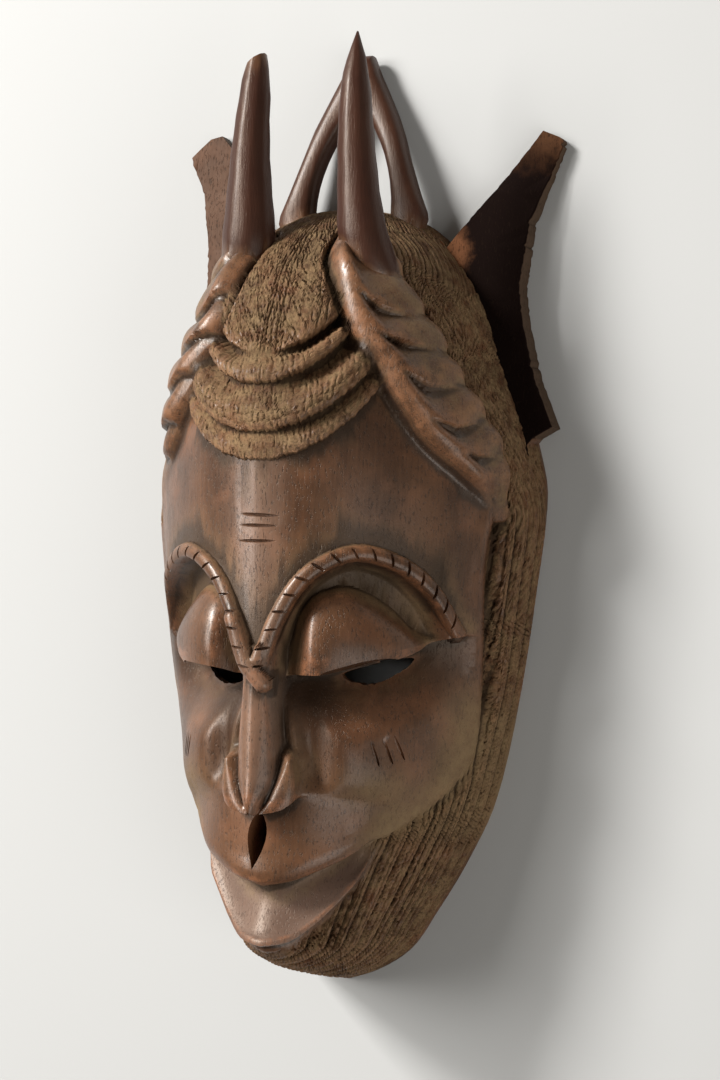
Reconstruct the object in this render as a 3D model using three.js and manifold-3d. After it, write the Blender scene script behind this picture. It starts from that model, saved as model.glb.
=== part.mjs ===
import * as THREE from 'three';
import { mergeVertices } from 'three/addons/utils/BufferGeometryUtils.js';
import Module from 'manifold-3d';

// A carved hardwood mask that hangs on a wall, hollow behind. All sizes are millimetres.
// While it is shaped, X runs to the mask's own left, Y runs up from the chin along the flat back
// and Z runs out of the back. The last step puts the origin under the middle of the whole carving.

// The block that the face and the hair are cut from
const HEAD_LENGTH = 381;
const SECTION_POWER = 1.7; // below 2 the cheeks are flatter than an ellipse
const HALF_WIDTHS = [[0, 0], [5, 14], [18, 33.5], [37, 46.5], [62, 61.5], [92, 75.3], [146, 87],
  [190, 93.2], [239, 98.2], [263, 93.5], [300, 80], [331, 69], [358, 50], [373, 31], [HEAD_LENGTH, 0]];
const DEPTHS = [[0, 0], [6, 32], [18, 78], [28, 96], [57, 98], [100, 108], [150, 113], [215, 114.5],
  [282, 117], [315, 108], [340, 94], [358, 74], [372, 46], [HEAD_LENGTH, 0]];

// The hollow is the same form made smaller about the middle of the back
const HOLLOW_SCALE = new THREE.Vector3(0.875, 0.925, 0.8);
const HOLLOW_ROWS = 16;
const HOLLOW_COLUMNS = 12;
const CUT_CLEARANCE = 4;

// Brows: twisted cords in relief that cross at the bridge of the nose
const BROW_PATH = [[2.5, 157], [10, 178], [22, 197.5], [40, 208], [56, 204], [67, 192], [75, 172]];
const BROW_HALF_WIDTH = 4.8;
const BROW_HEIGHT = 4.2;

// Eyes: a heavy lid cut off straight below, over a deep hollow, inside a sunk crescent
const LID_CUT_LINE = [[0, 150], [17, 152], [36, 154], [50, 158.5], [64, 164], [77, 171.5], [100, 171.5]];
const LID_MIDDLE = 42;
const LID_HALF_WIDTH = 27;
const LID_LENGTH = 34;
const LID_CROWN = 0.28; // how far up the lid it stands out most
const LID_RISE = 11;
const LID_CORNER = 75;
const CRESCENT_DEPTH = 9;
const EYE_HOLLOW_DEPTH = 15;
const EYE_HOLLOW_LENGTH = 36;
const SLIT_DROP = 6;
const SLIT_LIFT = 3;
const SLITS = [{ from: 29, to: 56 }, { from: -46, to: -13 }];

// Nose: a long narrow ridge with two separate wings, cut off flat below
const NOSE_RIDGE = [[86, 9], [95, 10.5], [106, 8], [124, 5.2], [142, 3], [160, 2]];
const NOSE_HALF_WIDTH = [[86, 7.5], [95, 8.6], [110, 9], [128, 7.8], [150, 6], [170, 5]];
const NOSE_SIDE_SLOPE = 1.7;
const NOSE_BLEND = 4;
const WING = { x: 15.8, y: 102, width: 10.5, length: 14, height: 10 };
const NOSE_GROOVE_DEPTH = 8;
const CHEEK_FULLNESS = 2.5;
const CHEEK_BLEND = 8;

// Mouth: a jutting upper lip with an upright hole, over a wide sunk lower lip with a raised rim
const MUZZLE_TOP_LINE = [[0, 91], [10, 93], [20, 98], [46, 97], [54, 89], [100, 92]];
const MOUTH_LINE = [[0, 56.5], [12.5, 59.5], [23.6, 65], [34, 71.5], [44, 79], [60, 82], [100, 82]];
const LIP_RIM_LINE = [[0, 29.5], [8, 31.5], [17, 39], [25, 48.5], [33, 59.5], [39, 68], [44, 77],
  [60, 72], [100, 66]];
const MOUTH_CORNER = 44;
const MUZZLE_SWELL = [[0, 1.5], [0.07, 4.5], [0.25, 6], [0.6, 2], [1, -2]];
const LIP_RIM_HEIGHT = 5;
const LIP_DISH_DEPTH = 4.5;
const MOUTH_HOLE = { bottom: 64.5, top: 91.5, halfWidth: 4.6, lean: 0.12 };

// Face edge: beyond it the bearded side of the head lies a little lower
const FACE_EDGE = [[74, 40], [80, 47], [88, 57], [98, 66], [112, 73.5], [136, 78.5], [164, 81],
  [207, 83.5], [235, 88]];
const FACE_EDGE_DROP = 3.2;
const FACE_EDGE_RIDGE = 1.2;
const STRAND_DEPTH = 1.4;

// Coiffure: a domed cap that ends on the forehead in shingled layers, each an upturned arch
const CAP_LAYERS = [
  { middle: 290, halfWidth: 45.5, drop: 41 },
  { middle: 301, halfWidth: 43.5, drop: 39.5 },
  { middle: 318, halfWidth: 35, drop: 35 },
  { middle: 330, halfWidth: 32, drop: 33 },
];
const LAYER_EDGE_HEIGHT = 5;
const LAYER_FOOT_HEIGHT = 0.8;
const CAP_TOP_LENGTH = 66;
const CAP_HALF_WIDTHS = [[285, 46], [300, 40], [320, 33], [345, 27], [HEAD_LENGTH, 22]];

// Side locks: thick twisted bands from the front horns down to the cheeks
const LOCK_PATH = [[33, 343], [41, 325], [46.5, 313], [54, 300], [62.5, 284], [71, 269.5], [79, 257],
  [85.5, 244], [89, 229]];
const LOCK_HALF_WIDTHS = [[0, 12], [0.12, 16.5], [0.3, 20.5], [0.6, 20], [0.8, 15], [1, 4]];
const LOCK_HEIGHT = 10.5;
const LOCK_SINK = 1.5; // the middle of a lock's section lies this far under the form
const LOCK_TURNS = 7;
const LOCK_SLANT = 0.85; // how far a crease runs down the lock for each step outward across it
const LOCK_TURN_DEPTH = 0.34; // share of the height lost in a crease
const LOCK_TURN_ROWS = [0, 0.16, 0.45, 0.78];
const LOCK_ARC_STEPS = 6;

// Front horns: round and tapering. The left one leans in from its root, the right one stands upright
// on a thicker root, and its tip is split off at a slant.
const LEFT_HORN = {
  path: [[38, 318, 68], [36.5, 336, 75], [31, 365, 77.5], [28, 395, 77], [26.5, 425, 76], [26, 450, 74]],
  radii: [[0, 13.6], [0.14, 12.6], [0.45, 9.8], [0.68, 8.1], [0.8, 7], [0.9, 4.6], [1, 0.5]],
};
const RIGHT_HORN = {
  path: [[-30, 318, 68], [-27.5, 336, 75], [-25.8, 366, 77.5], [-26.3, 398, 77], [-25, 429, 76],
    [-24.5, 455, 74]],
  radii: [[0, 14], [0.14, 13.6], [0.27, 12.8], [0.38, 11.5], [0.5, 10], [0.68, 8.2], [0.8, 7],
    [0.9, 4.6], [1, 0.5]],
};
const HORN_SIDES = 12;
const HORN_RINGS = 10;
const BROKEN_TIP = { x: -26.5, y: 439.5, z: 76, tilt: 0.56, size: 30 };

// Rear horns: flat slabs at the back rim that flare outward to worn, chipped ends
const REAR_HORN_LEFT = [[88, 257.5], [95.4, 266], [104, 270.5], [99.5, 281.5], [95, 292], [88, 320],
  [85.7, 338], [89.6, 367], [95.3, 383], [104.8, 405], [104.5, 409], [94, 413.3], [83, 400],
  [71, 385], [52, 363], [40, 348], [62, 300], [66, 262]];
const REAR_HORN_RIGHT = [[88, 257.5], [96, 266], [100, 274], [95, 292], [86, 320], [81, 345],
  [82, 366], [87.5, 392], [94.5, 407], [95.5, 411.5], [84, 421], [78.5, 421], [70.5, 412.5], [66, 395],
  [57, 376], [47, 361], [40, 348], [62, 300], [66, 262]];
const REAR_HORN_THICKNESS = [[255, 14.5], [340, 13.5], [375, 11], [390, 7.5], [425, 5.5]];

// Hanging loop: a pointed arch cut free at the top of the back
const LOOP_HALF_WIDTHS = [[352, 33], [372, 39], [385, 34.5], [400, 29], [418, 22.8], [436, 14.5],
  [448, 8.5], [455.5, 5.5]]; // each pair is a height and half the width over both legs
const LOOP_SPRING = 372;
const LOOP_TOP = 455.5;
const LOOP_OPENING_FOOT = 379;
const LOOP_OPENING_TOP = 427;
const LOOP_OPENING_HALF_WIDTH = 21;
const NAIL_SEAT_HALF_WIDTH = 3;
const LOOP_THICKNESS = 14;
const LOOP_LEG_FORWARD = 9;
const LOOP_EDGE_ROUND = 4;
const LOOP_STEPS = 8;

// How finely the front is divided: rows between the lines that the carving follows
const COLUMNS_PER_SIDE = 22;
const LINE_STEP = 0.8; // half the width of a steep step in the carving
const RELIEF_FADE = 6; // relief dies out this near the flat back

const WOOD = new THREE.MeshStandardMaterial({ color: 0x4f3328, roughness: 0.48, metalness: 0 });

// A smooth curve through a few [place, value] pairs that never swings past them
function through(pairs) {
  const last = pairs.length - 1;
  const spans = [];
  const slopes = [];
  for (let i = 0; i < last; i++) {
    spans.push(pairs[i + 1][0] - pairs[i][0]);
    slopes.push((pairs[i + 1][1] - pairs[i][1]) / spans[i]);
  }
  const tangents = pairs.map((pair, i) => {
    if (i === 0) return slopes[0];
    if (i === last) return slopes[last - 1];
    if (slopes[i - 1] * slopes[i] <= 0) return 0;
    const before = 2 * spans[i] + spans[i - 1];
    const after = spans[i] + 2 * spans[i - 1];
    return (before + after) / (before / slopes[i - 1] + after / slopes[i]);
  });
  return (place) => {
    const at = THREE.MathUtils.clamp(place, pairs[0][0], pairs[last][0]);
    let i = 0;
    while (i < last - 1 && at > pairs[i + 1][0]) i++;
    const t = (at - pairs[i][0]) / spans[i];
    const a = pairs[i][1];
    const b = pairs[i + 1][1];
    const rise = b - a;
    const c = 3 * rise - spans[i] * (2 * tangents[i] + tangents[i + 1]);
    const d = spans[i] * (tangents[i] + tangents[i + 1]) - 2 * rise;
    return a + t * (spans[i] * tangents[i] + t * (c + t * d));
  };
}

const smooth = THREE.MathUtils.smoothstep;
const mix = THREE.MathUtils.lerp;
const dome = (q) => Math.sqrt(Math.max(0, 1 - q * q));

// The higher of two surfaces, with the corner between them rounded over a width
function blendUp(a, b, width) {
  const near = Math.max(0, width - Math.abs(a - b)) / width;
  return Math.max(a, b) + near * near * width / 4;
}

const halfWidth = through(HALF_WIDTHS);
const depth = through(DEPTHS);
const lidCut = through(LID_CUT_LINE);
const noseRidge = through(NOSE_RIDGE);
const noseHalfWidth = through(NOSE_HALF_WIDTH);
const muzzleTop = through(MUZZLE_TOP_LINE);
const mouthLine = through(MOUTH_LINE);
const lipRim = through(LIP_RIM_LINE);
const muzzleSwell = through(MUZZLE_SWELL);
const faceEdge = through(FACE_EDGE);
const capHalfWidth = through(CAP_HALF_WIDTHS);
const browLine = through(BROW_PATH);

// The plain rounded form without relief: across runs from -1 at one rim to 1 at the other
function formPoint(across, y) {
  const angle = across * Math.PI / 2;
  const x = halfWidth(y) * Math.sign(angle) * Math.abs(Math.sin(angle)) ** (2 / SECTION_POWER);
  const z = depth(y) * Math.max(0, Math.cos(angle)) ** (2 / SECTION_POWER);
  return new THREE.Vector3(x, y, Math.abs(across) === 1 ? 0 : z);
}

function formHeight(x, y) {
  const q = Math.min(1, Math.abs(x) / Math.max(halfWidth(y), 0.001));
  return depth(y) * (1 - q ** SECTION_POWER) ** (1 / SECTION_POWER);
}

function formNormal(p) {
  const step = 0.5;
  const w = Math.max(halfWidth(p.y), 1);
  const m = Math.max(depth(p.y), 1);
  const wSlope = (halfWidth(p.y + step) - halfWidth(p.y - step)) / (2 * step);
  const mSlope = (depth(p.y + step) - depth(p.y - step)) / (2 * step);
  const qx = Math.abs(p.x) / w;
  const qz = Math.abs(p.z) / m;
  const n = SECTION_POWER;
  const alongX = Math.sign(p.x) * qx ** (n - 1) / w;
  const alongZ = qz ** (n - 1) / m;
  const alongY = -(qx ** n * wSlope / w + qz ** n * mSlope / m);
  return new THREE.Vector3(alongX, alongY, alongZ).normalize();
}

// A line drawn on the form, as evenly spaced points with their distance along it
function drawOnForm(path, count) {
  const corners = path.map(([x, y]) => new THREE.Vector3(x, y, formHeight(x, y)));
  const curve = new THREE.CatmullRomCurve3(corners);
  const total = curve.getLength();
  return curve.getSpacedPoints(count).map((point, i) => ({ point, along: total * i / count }));
}

// The nearest place on such a line: how far off it, how far along it, and on which side
function nearestOn(line, p) {
  let best = { off: Infinity, along: 0, side: 0 };
  for (let i = 0; i < line.length - 1; i++) {
    const a = line[i].point;
    const edge = line[i + 1].point.clone().sub(a);
    const reach = p.clone().sub(a);
    const t = THREE.MathUtils.clamp(reach.dot(edge) / edge.lengthSq(), 0, 1);
    const off = reach.addScaledVector(edge, -t).length();
    if (off < best.off) {
      const turn = edge.x * reach.y - edge.y * reach.x;
      best = { off, along: mix(line[i].along, line[i + 1].along, t), side: Math.sign(turn) };
    }
  }
  return best;
}

const browPoints = drawOnForm(BROW_PATH, 40);

function browRelief(p) {
  const { off } = nearestOn(browPoints, p);
  return BROW_HEIGHT * dome(off / BROW_HALF_WIDTH);
}

// The lid and the sunk crescent round it, between the brow and the cut line
function lidRelief(side, y, p) {
  const { off } = nearestOn(browPoints, p);
  const nearNose = 1 - smooth(side, 12, 30);
  const corner = 1 - smooth(side, LID_CORNER - 12, LID_CORNER);
  const sunk = -(CRESCENT_DEPTH + 3 * nearNose) * smooth(off, 2, 8) * smooth(side, 5, 12) * corner;
  const up = (y - lidCut(side)) / LID_LENGTH;
  const rise = up > LID_CROWN ? (up - LID_CROWN) / (1 - LID_CROWN) : (LID_CROWN - up) / 1.1;
  const across = (side - LID_MIDDLE) / LID_HALF_WIDTH;
  return sunk + LID_RISE * dome(Math.hypot(across, rise));
}

// The hollow under the lid, which runs out onto the cheek, and the groove beside the nose
function cheekRelief(side, y) {
  const below = lidCut(side) - y;
  const spread = smooth(side, 5, 15) * (1 - smooth(side, 48, 79));
  const hollow = EYE_HOLLOW_DEPTH * spread * (1 - smooth(below, 0, EYE_HOLLOW_LENGTH));
  const groove = NOSE_GROOVE_DEPTH * smooth(y, 92, 120) * (1 - smooth(side, 14, 40));
  const full = CHEEK_FULLNESS * Math.exp(-(((side - 48) / 20) ** 2) - ((y - 108) / 14) ** 2);
  return full - blendUp(hollow, groove, CHEEK_BLEND);
}

function noseRelief(side, y) {
  const half = noseHalfWidth(y);
  const ridge = noseRidge(y) * (1 - 0.55 * Math.min(1, side / half) ** 2);
  return ridge - NOSE_SIDE_SLOPE * Math.max(0, side - half);
}

function wingRelief(side, y) {
  const q = Math.hypot((side - WING.x) / WING.width, (y - WING.y) / WING.length);
  return q < 1 ? WING.height * (1 - q * q) ** 2 : 0;
}

function muzzleRelief(side, y) {
  const low = mouthLine(side);
  const up = (y - low) / Math.max(1, muzzleTop(side) - low);
  const fade = 1 - smooth(side, MOUTH_CORNER * 0.6, MOUTH_CORNER * 1.25);
  return muzzleSwell(up) * fade;
}

function lipRelief(side, y) {
  const low = lipRim(side);
  const up = (y - low) / Math.max(1, mouthLine(side) - low);
  const fade = 1 - smooth(side, MOUTH_CORNER * 0.72, MOUTH_CORNER);
  return (LIP_RIM_HEIGHT - (LIP_RIM_HEIGHT + LIP_DISH_DEPTH) * smooth(up, 0.02, 0.85)) * fade;
}

// The side beyond the face edge, in strands that run from the temple round the jaw to the chin
function beardRelief(side, y, strand) {
  const beyond = side - faceEdge(y);
  const fade = smooth(y, 70, 88) * (1 - smooth(y, 225, 240));
  const ridge = FACE_EDGE_RIDGE * Math.exp(-((beyond + 2) ** 2) / 9);
  const drop = FACE_EDGE_DROP * smooth(beyond, -1, 5) * (1 - 0.5 * smooth(beyond, 6, 14));
  const hairy = Math.max(fade, 1 - smooth(y, 70, 88)) * smooth(beyond, 0, 5) * smooth(side, 26, 40);
  return fade * (ridge - drop) - STRAND_DEPTH * strand * hairy;
}

// The lower edge of a cap layer at a distance from the midline
function layerEdge(layer, side) {
  return layer.middle - layer.drop * dome(side / layer.halfWidth);
}

function capRelief(side, y) {
  if (side > capHalfWidth(y)) return 0;
  let height = 0;
  CAP_LAYERS.forEach((layer, i) => {
    const low = layerEdge(layer, side);
    if (side > layer.halfWidth || y < low) return;
    const above = CAP_LAYERS[i + 1];
    const high = above && side < above.halfWidth ? layerEdge(above, side) : low + CAP_TOP_LENGTH;
    const up = THREE.MathUtils.clamp((y - low) / Math.max(6, high - low), 0, 1);
    height = mix(LAYER_EDGE_HEIGHT, above ? LAYER_FOOT_HEIGHT : 0, up);
  });
  return height;
}

// Relief in or out of the plain form at a place on it
function relief(base, strand) {
  const side = Math.abs(base.x);
  const y = base.y;
  const p = new THREE.Vector3(side, y, base.z);
  let height = 0;
  const onFace = side < faceEdge(y) || y > 235;
  if (y < lipRim(side)) height = 0;
  else if (y < mouthLine(side)) height = lipRelief(side, y);
  else if (y < muzzleTop(side)) height = muzzleRelief(side, y);
  else if (y < lidCut(side)) height = onFace ? cheekRelief(side, y) : 0;
  else if (y < browLine(side)) height = onFace ? lidRelief(side, y, p) : 0;
  const aboveMuzzle = y >= muzzleTop(side);
  if (aboveMuzzle) height += wingRelief(side, y);
  if (aboveMuzzle && y < 166) height = blendUp(height, noseRelief(side, y), NOSE_BLEND);
  if (y > 150 && y < 220) height += browRelief(p);
  height += beardRelief(side, y, strand);
  if (y > CAP_LAYERS[0].middle - CAP_LAYERS[0].drop) height = Math.max(height, capRelief(side, y));
  return height * smooth(base.z, 0, RELIEF_FADE);
}

// Rows of the front follow the lines of the carving, from the chin to the crown of the head.
// Each entry is a line, as a height for a distance from the midline, and the rows up to the next.
const constant = (value) => () => value;
const shifted = (line, step) => (side) => line(side) + step;
const stepped = (line, rows) => [
  { line: shifted(line, -LINE_STEP), rows: 1 },
  { line: shifted(line, LINE_STEP), rows },
];
const capEdge = (i, outside) => (side) => {
  const layer = CAP_LAYERS[i];
  const inside = Math.min(side, layer.halfWidth * 0.97);
  return layerEdge(layer, inside) + outside * smooth(side, layer.halfWidth, layer.halfWidth + 30);
};
const GUIDES = [
  { line: constant(0), rows: 8 },
  ...stepped(lipRim, 6),
  ...stepped(mouthLine, 7),
  ...stepped(muzzleTop, 12),
  ...stepped(lidCut, 8),
  { line: (side) => Math.max(lidCut(side) + 3, browLine(side) - 5.5), rows: 4 },
  { line: (side) => Math.max(lidCut(side) + 8, browLine(side) + 5.5), rows: 6 },
  ...stepped(capEdge(0, 4), 2),
  ...stepped(capEdge(1, 8), 3),
  ...stepped(capEdge(2, 6), 2),
  ...stepped(capEdge(3, 10), 9),
  { line: constant(HEAD_LENGTH), rows: 0 },
];

// The height at which a column meets a guide line; the width there depends on that height
function meet(line, across) {
  let low = 0;
  let high = HEAD_LENGTH;
  for (let i = 0; i < 30; i++) {
    const middle = (low + high) / 2;
    if (middle < line(Math.abs(formPoint(across, middle).x))) low = middle;
    else high = middle;
  }
  return (low + high) / 2;
}

// Columns are closer together on the face, and every other one lies in a groove between strands
function acrossAt(column) {
  const t = column / COLUMNS_PER_SIDE;
  return 0.8 * t + 0.2 * t ** 3;
}

function carvedPoint(column, y) {
  const base = formPoint(acrossAt(column), y);
  return base.addScaledVector(formNormal(base), relief(base, Math.abs(column) % 2));
}

// Joins rings of equal length into one closed surface, with a pole at each end
function loft(rings, firstPole, lastPole) {
  const count = rings[0].length;
  const positions = [];
  rings.forEach((ring) => ring.forEach((p) => positions.push(p.x, p.y, p.z)));
  const poles = [firstPole, lastPole].map((pole) => {
    positions.push(pole.x, pole.y, pole.z);
    return positions.length / 3 - 1;
  });
  const index = [];
  const at = (ring, k) => ring * count + (k % count);
  for (let k = 0; k < count; k++) {
    index.push(poles[0], at(0, k + 1), at(0, k));
    index.push(poles[1], at(rings.length - 1, k), at(rings.length - 1, k + 1));
    for (let ring = 0; ring < rings.length - 1; ring++) {
      index.push(at(ring, k), at(ring, k + 1), at(ring + 1, k + 1));
      index.push(at(ring, k), at(ring + 1, k + 1), at(ring + 1, k));
    }
  }
  const geometry = new THREE.BufferGeometry();
  geometry.setAttribute('position', new THREE.Float32BufferAttribute(positions, 3));
  geometry.setIndex(index);
  return geometry;
}

function headGeometry() {
  const rings = [];
  const columns = [];
  for (let c = -COLUMNS_PER_SIDE; c <= COLUMNS_PER_SIDE; c++) columns.push(c);
  const heights = columns.map((column) => GUIDES.map((guide) => meet(guide.line, acrossAt(column))));
  GUIDES.forEach((guide, g) => {
    for (let row = 0; row < guide.rows; row++) {
      if (g === 0 && row === 0) continue;
      rings.push(columns.map((column, c) => {
        const y = mix(heights[c][g], heights[c][g + 1], row / guide.rows);
        return carvedPoint(column, y);
      }));
    }
  });
  return loft(rings, new THREE.Vector3(0, 0, 0), new THREE.Vector3(0, HEAD_LENGTH, 0));
}

function hollowGeometry() {
  const middle = HEAD_LENGTH / 2;
  const shrink = (p) => {
    const inner = p.clone().multiply(HOLLOW_SCALE);
    inner.y += middle * (1 - HOLLOW_SCALE.y);
    return inner;
  };
  const rings = [];
  for (let row = 1; row < HOLLOW_ROWS; row++) {
    const y = HEAD_LENGTH * (1 - Math.cos(Math.PI * row / HOLLOW_ROWS)) / 2;
    const ring = [];
    for (let c = -HOLLOW_COLUMNS / 2; c <= HOLLOW_COLUMNS / 2; c++) {
      ring.push(shrink(formPoint(2 * c / HOLLOW_COLUMNS, y)));
    }
    const first = ring[0].clone().setZ(-CUT_CLEARANCE);
    const last = ring[ring.length - 1].clone().setZ(-CUT_CLEARANCE);
    rings.push([first, ...ring, last]);
  }
  const ends = [0, HEAD_LENGTH].map((y) => shrink(new THREE.Vector3(0, y, 0)).setZ(-CUT_CLEARANCE / 2));
  return loft(rings, ends[0], ends[1]);
}

function hornGeometry(horn) {
  const path = horn.path.map(([x, y, z]) => new THREE.Vector3(x, y, z));
  const curve = new THREE.CatmullRomCurve3(path);
  const radius = through(horn.radii);
  const rings = [];
  for (let i = 0; i <= HORN_RINGS; i++) {
    const t = i / HORN_RINGS;
    const centre = curve.getPointAt(t);
    const ring = [];
    for (let k = 0; k < HORN_SIDES; k++) {
      const turn = -2 * Math.PI * k / HORN_SIDES;
      const r = radius(t);
      ring.push(new THREE.Vector3(centre.x + r * Math.cos(turn), centre.y, centre.z + r * Math.sin(turn)));
    }
    rings.push(ring);
  }
  return loft(rings, path[0], path[path.length - 1].clone().setY(path[path.length - 1].y + 0.3));
}

// A lock lies on the form. Its rings follow the creases, so each turn starts in a sharp valley.
function lockGeometry(sideSign) {
  const line = drawOnForm(LOCK_PATH, 60);
  const total = line[line.length - 1].along;
  const half = through(LOCK_HALF_WIDTHS);
  const placeAt = (along) => {
    const share = THREE.MathUtils.clamp(along / total, 0, 1) * (line.length - 1);
    const i = Math.min(Math.floor(share), line.length - 2);
    const centre = line[i].point.clone().lerp(line[i + 1].point, share - i);
    const heading = line[i + 1].point.clone().sub(line[i].point).normalize();
    const outward = formNormal(centre);
    const outside = new THREE.Vector3().crossVectors(outward, heading).normalize();
    return { centre, outward, outside };
  };
  const rings = [];
  for (let turn = 0; turn < LOCK_TURNS; turn++) {
    LOCK_TURN_ROWS.forEach((part) => {
      const middle = total * (turn + part) / LOCK_TURNS;
      const swell = 1 - LOCK_TURN_DEPTH * (1 - Math.sin(Math.PI * part) ** 0.7);
      const ring = [];
      for (let k = 0; k <= LOCK_ARC_STEPS + 1; k++) {
        const angle = k > LOCK_ARC_STEPS ? -Math.PI / 2 : Math.PI * (k / LOCK_ARC_STEPS * 1.3 - 0.15);
        const width = half(middle / total) * Math.cos(angle);
        const slant = LOCK_SLANT * width * smooth(middle / total, 0, 0.15) * (1 - smooth(middle / total, 0.8, 1));
        const { centre, outward, outside } = placeAt(middle + slant);
        const high = LOCK_HEIGHT * half(middle / total) / 17 * Math.sin(angle) * swell - LOCK_SINK;
        const p = centre.addScaledVector(outside, width).addScaledVector(outward, high);
        ring.push(p.setX(p.x * sideSign));
      }
      rings.push(sideSign > 0 ? ring : ring.reverse());
    });
  }
  const pole = (ring) => ring.reduce((sum, p) => sum.add(p), new THREE.Vector3()).divideScalar(ring.length);
  return loft(rings, pole(rings[0]), pole(rings[rings.length - 1]));
}

function rearHornGeometry(outline, sideSign) {
  const points = outline.map(([x, y]) => new THREE.Vector2(sideSign * x, y));
  const geometry = new THREE.ExtrudeGeometry(new THREE.Shape(points), { depth: 1, bevelEnabled: false });
  const thickness = through(REAR_HORN_THICKNESS);
  const position = geometry.getAttribute('position');
  for (let i = 0; i < position.count; i++) {
    position.setZ(i, position.getZ(i) * thickness(position.getY(i)));
  }
  return geometry;
}

// One side of the opening from its foot to the flat seat of the nail, as a leaning parabola
function openingSide() {
  const reach = Math.sqrt(1 - NAIL_SEAT_HALF_WIDTH / LOOP_OPENING_HALF_WIDTH);
  const points = [];
  for (let i = 0; i <= LOOP_STEPS; i++) {
    const up = Math.sin(i / LOOP_STEPS * Math.PI / 2);
    const half = LOOP_OPENING_HALF_WIDTH * (1 - (reach * up) ** 2);
    points.push([half, mix(LOOP_OPENING_FOOT, LOOP_OPENING_TOP, up)]);
  }
  return points;
}

// The legs stand forward of the back and the arch leans back to its top
function loopGeometry() {
  const outer = LOOP_HALF_WIDTHS.map(([height, half]) => [half, height]);
  const inner = openingSide();
  const mirror = (points) => points.map(([x, y]) => [-x, y]).reverse();
  const outline = [...outer, ...mirror(outer)];
  const opening = [...inner, ...mirror(inner)];
  const toVector = ([x, y]) => new THREE.Vector2(x, y);
  const shape = new THREE.Shape(outline.map(toVector));
  shape.holes.push(new THREE.Path(opening.map(toVector)));
  const geometry = new THREE.ExtrudeGeometry(shape, {
    depth: LOOP_THICKNESS - 2 * LOOP_EDGE_ROUND,
    bevelThickness: LOOP_EDGE_ROUND,
    bevelSize: LOOP_EDGE_ROUND * 0.8,
    bevelOffset: -LOOP_EDGE_ROUND * 0.8,
    bevelSegments: 1,
  });
  const position = geometry.getAttribute('position');
  for (let i = 0; i < position.count; i++) {
    const forward = LOOP_LEG_FORWARD * (1 - smooth(position.getY(i), LOOP_SPRING, LOOP_TOP));
    position.setZ(i, position.getZ(i) + LOOP_EDGE_ROUND + forward);
  }
  return geometry;
}

// The eye slit runs under the edge of the lid, with a ragged lower edge
function slitGeometry({ from, to }) {
  const steps = 6;
  const upper = [];
  const lower = [];
  for (let i = 0; i <= steps; i++) {
    const x = mix(from, to, i / steps);
    const belly = Math.sin(Math.PI * i / steps) ** 0.6;
    upper.push(new THREE.Vector2(x, lidCut(Math.abs(x)) + SLIT_LIFT * belly));
    lower.push(new THREE.Vector2(x, lidCut(Math.abs(x)) - SLIT_DROP * belly));
  }
  const outline = [...lower, ...upper.slice(1, -1).reverse()];
  const cutter = new THREE.ExtrudeGeometry(new THREE.Shape(outline), { depth: 90, bevelEnabled: false });
  return cutter.translate(0, 0, 40);
}

function mouthHoleGeometry() {
  const steps = 8;
  const right = [];
  const left = [];
  for (let i = 0; i <= steps; i++) {
    const y = mix(MOUTH_HOLE.bottom, MOUTH_HOLE.top, i / steps);
    const wide = MOUTH_HOLE.halfWidth * Math.sin(Math.PI * i / steps) ** 0.8;
    const middle = (y - MOUTH_HOLE.top) * MOUTH_HOLE.lean;
    right.push(new THREE.Vector2(middle + wide, y));
    left.push(new THREE.Vector2(middle - wide, y));
  }
  const outline = [...right, ...left.slice(1, -1).reverse()];
  const cutter = new THREE.ExtrudeGeometry(new THREE.Shape(outline), { depth: 60, bevelEnabled: false });
  return cutter.translate(0, 0, 70);
}

function brokenTipGeometry() {
  const { x, y, z, tilt, size } = BROKEN_TIP;
  const cutter = new THREE.BoxGeometry(size, size, size).translate(0, size / 2, 0);
  return cutter.rotateZ(tilt).translate(x, y, z);
}

const wasm = await Module();
wasm.setup();

function solidOf(geometry) {
  const plain = geometry.clone();
  plain.deleteAttribute('normal');
  plain.deleteAttribute('uv');
  const merged = mergeVertices(plain, 1e-4);
  return new wasm.Manifold(new wasm.Mesh({
    numProp: 3,
    vertProperties: new Float32Array(merged.getAttribute('position').array),
    triVerts: new Uint32Array(merged.getIndex().array),
  }));
}

function geometryOf(solid) {
  const mesh = solid.getMesh();
  const geometry = new THREE.BufferGeometry();
  geometry.setAttribute('position', new THREE.BufferAttribute(mesh.vertProperties, 3));
  geometry.setIndex(new THREE.BufferAttribute(mesh.triVerts, 1));
  geometry.computeVertexNormals();
  return geometry;
}

function carveMask() {
  const joined = [
    hornGeometry(LEFT_HORN),
    hornGeometry(RIGHT_HORN),
    lockGeometry(1),
    lockGeometry(-1),
    rearHornGeometry(REAR_HORN_LEFT, 1),
    rearHornGeometry(REAR_HORN_RIGHT, -1),
    loopGeometry(),
  ];
  const cut = [
    hollowGeometry(),
    ...SLITS.map(slitGeometry),
    mouthHoleGeometry(),
    brokenTipGeometry(),
  ];
  let solid = solidOf(headGeometry());
  joined.forEach((geometry) => { solid = solid.add(solidOf(geometry)); });
  cut.forEach((geometry) => { solid = solid.subtract(solidOf(geometry)); });
  return geometryOf(solid);
}

const geometry = carveMask();
geometry.computeBoundingBox();
const middle = geometry.boundingBox.getCenter(new THREE.Vector3());
geometry.translate(-middle.x, -middle.y, -geometry.boundingBox.min.z);

const mask = new THREE.Mesh(geometry, WOOD);
mask.name = 'mask';

const group = new THREE.Group();
group.add(mask);

export default group;
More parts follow.
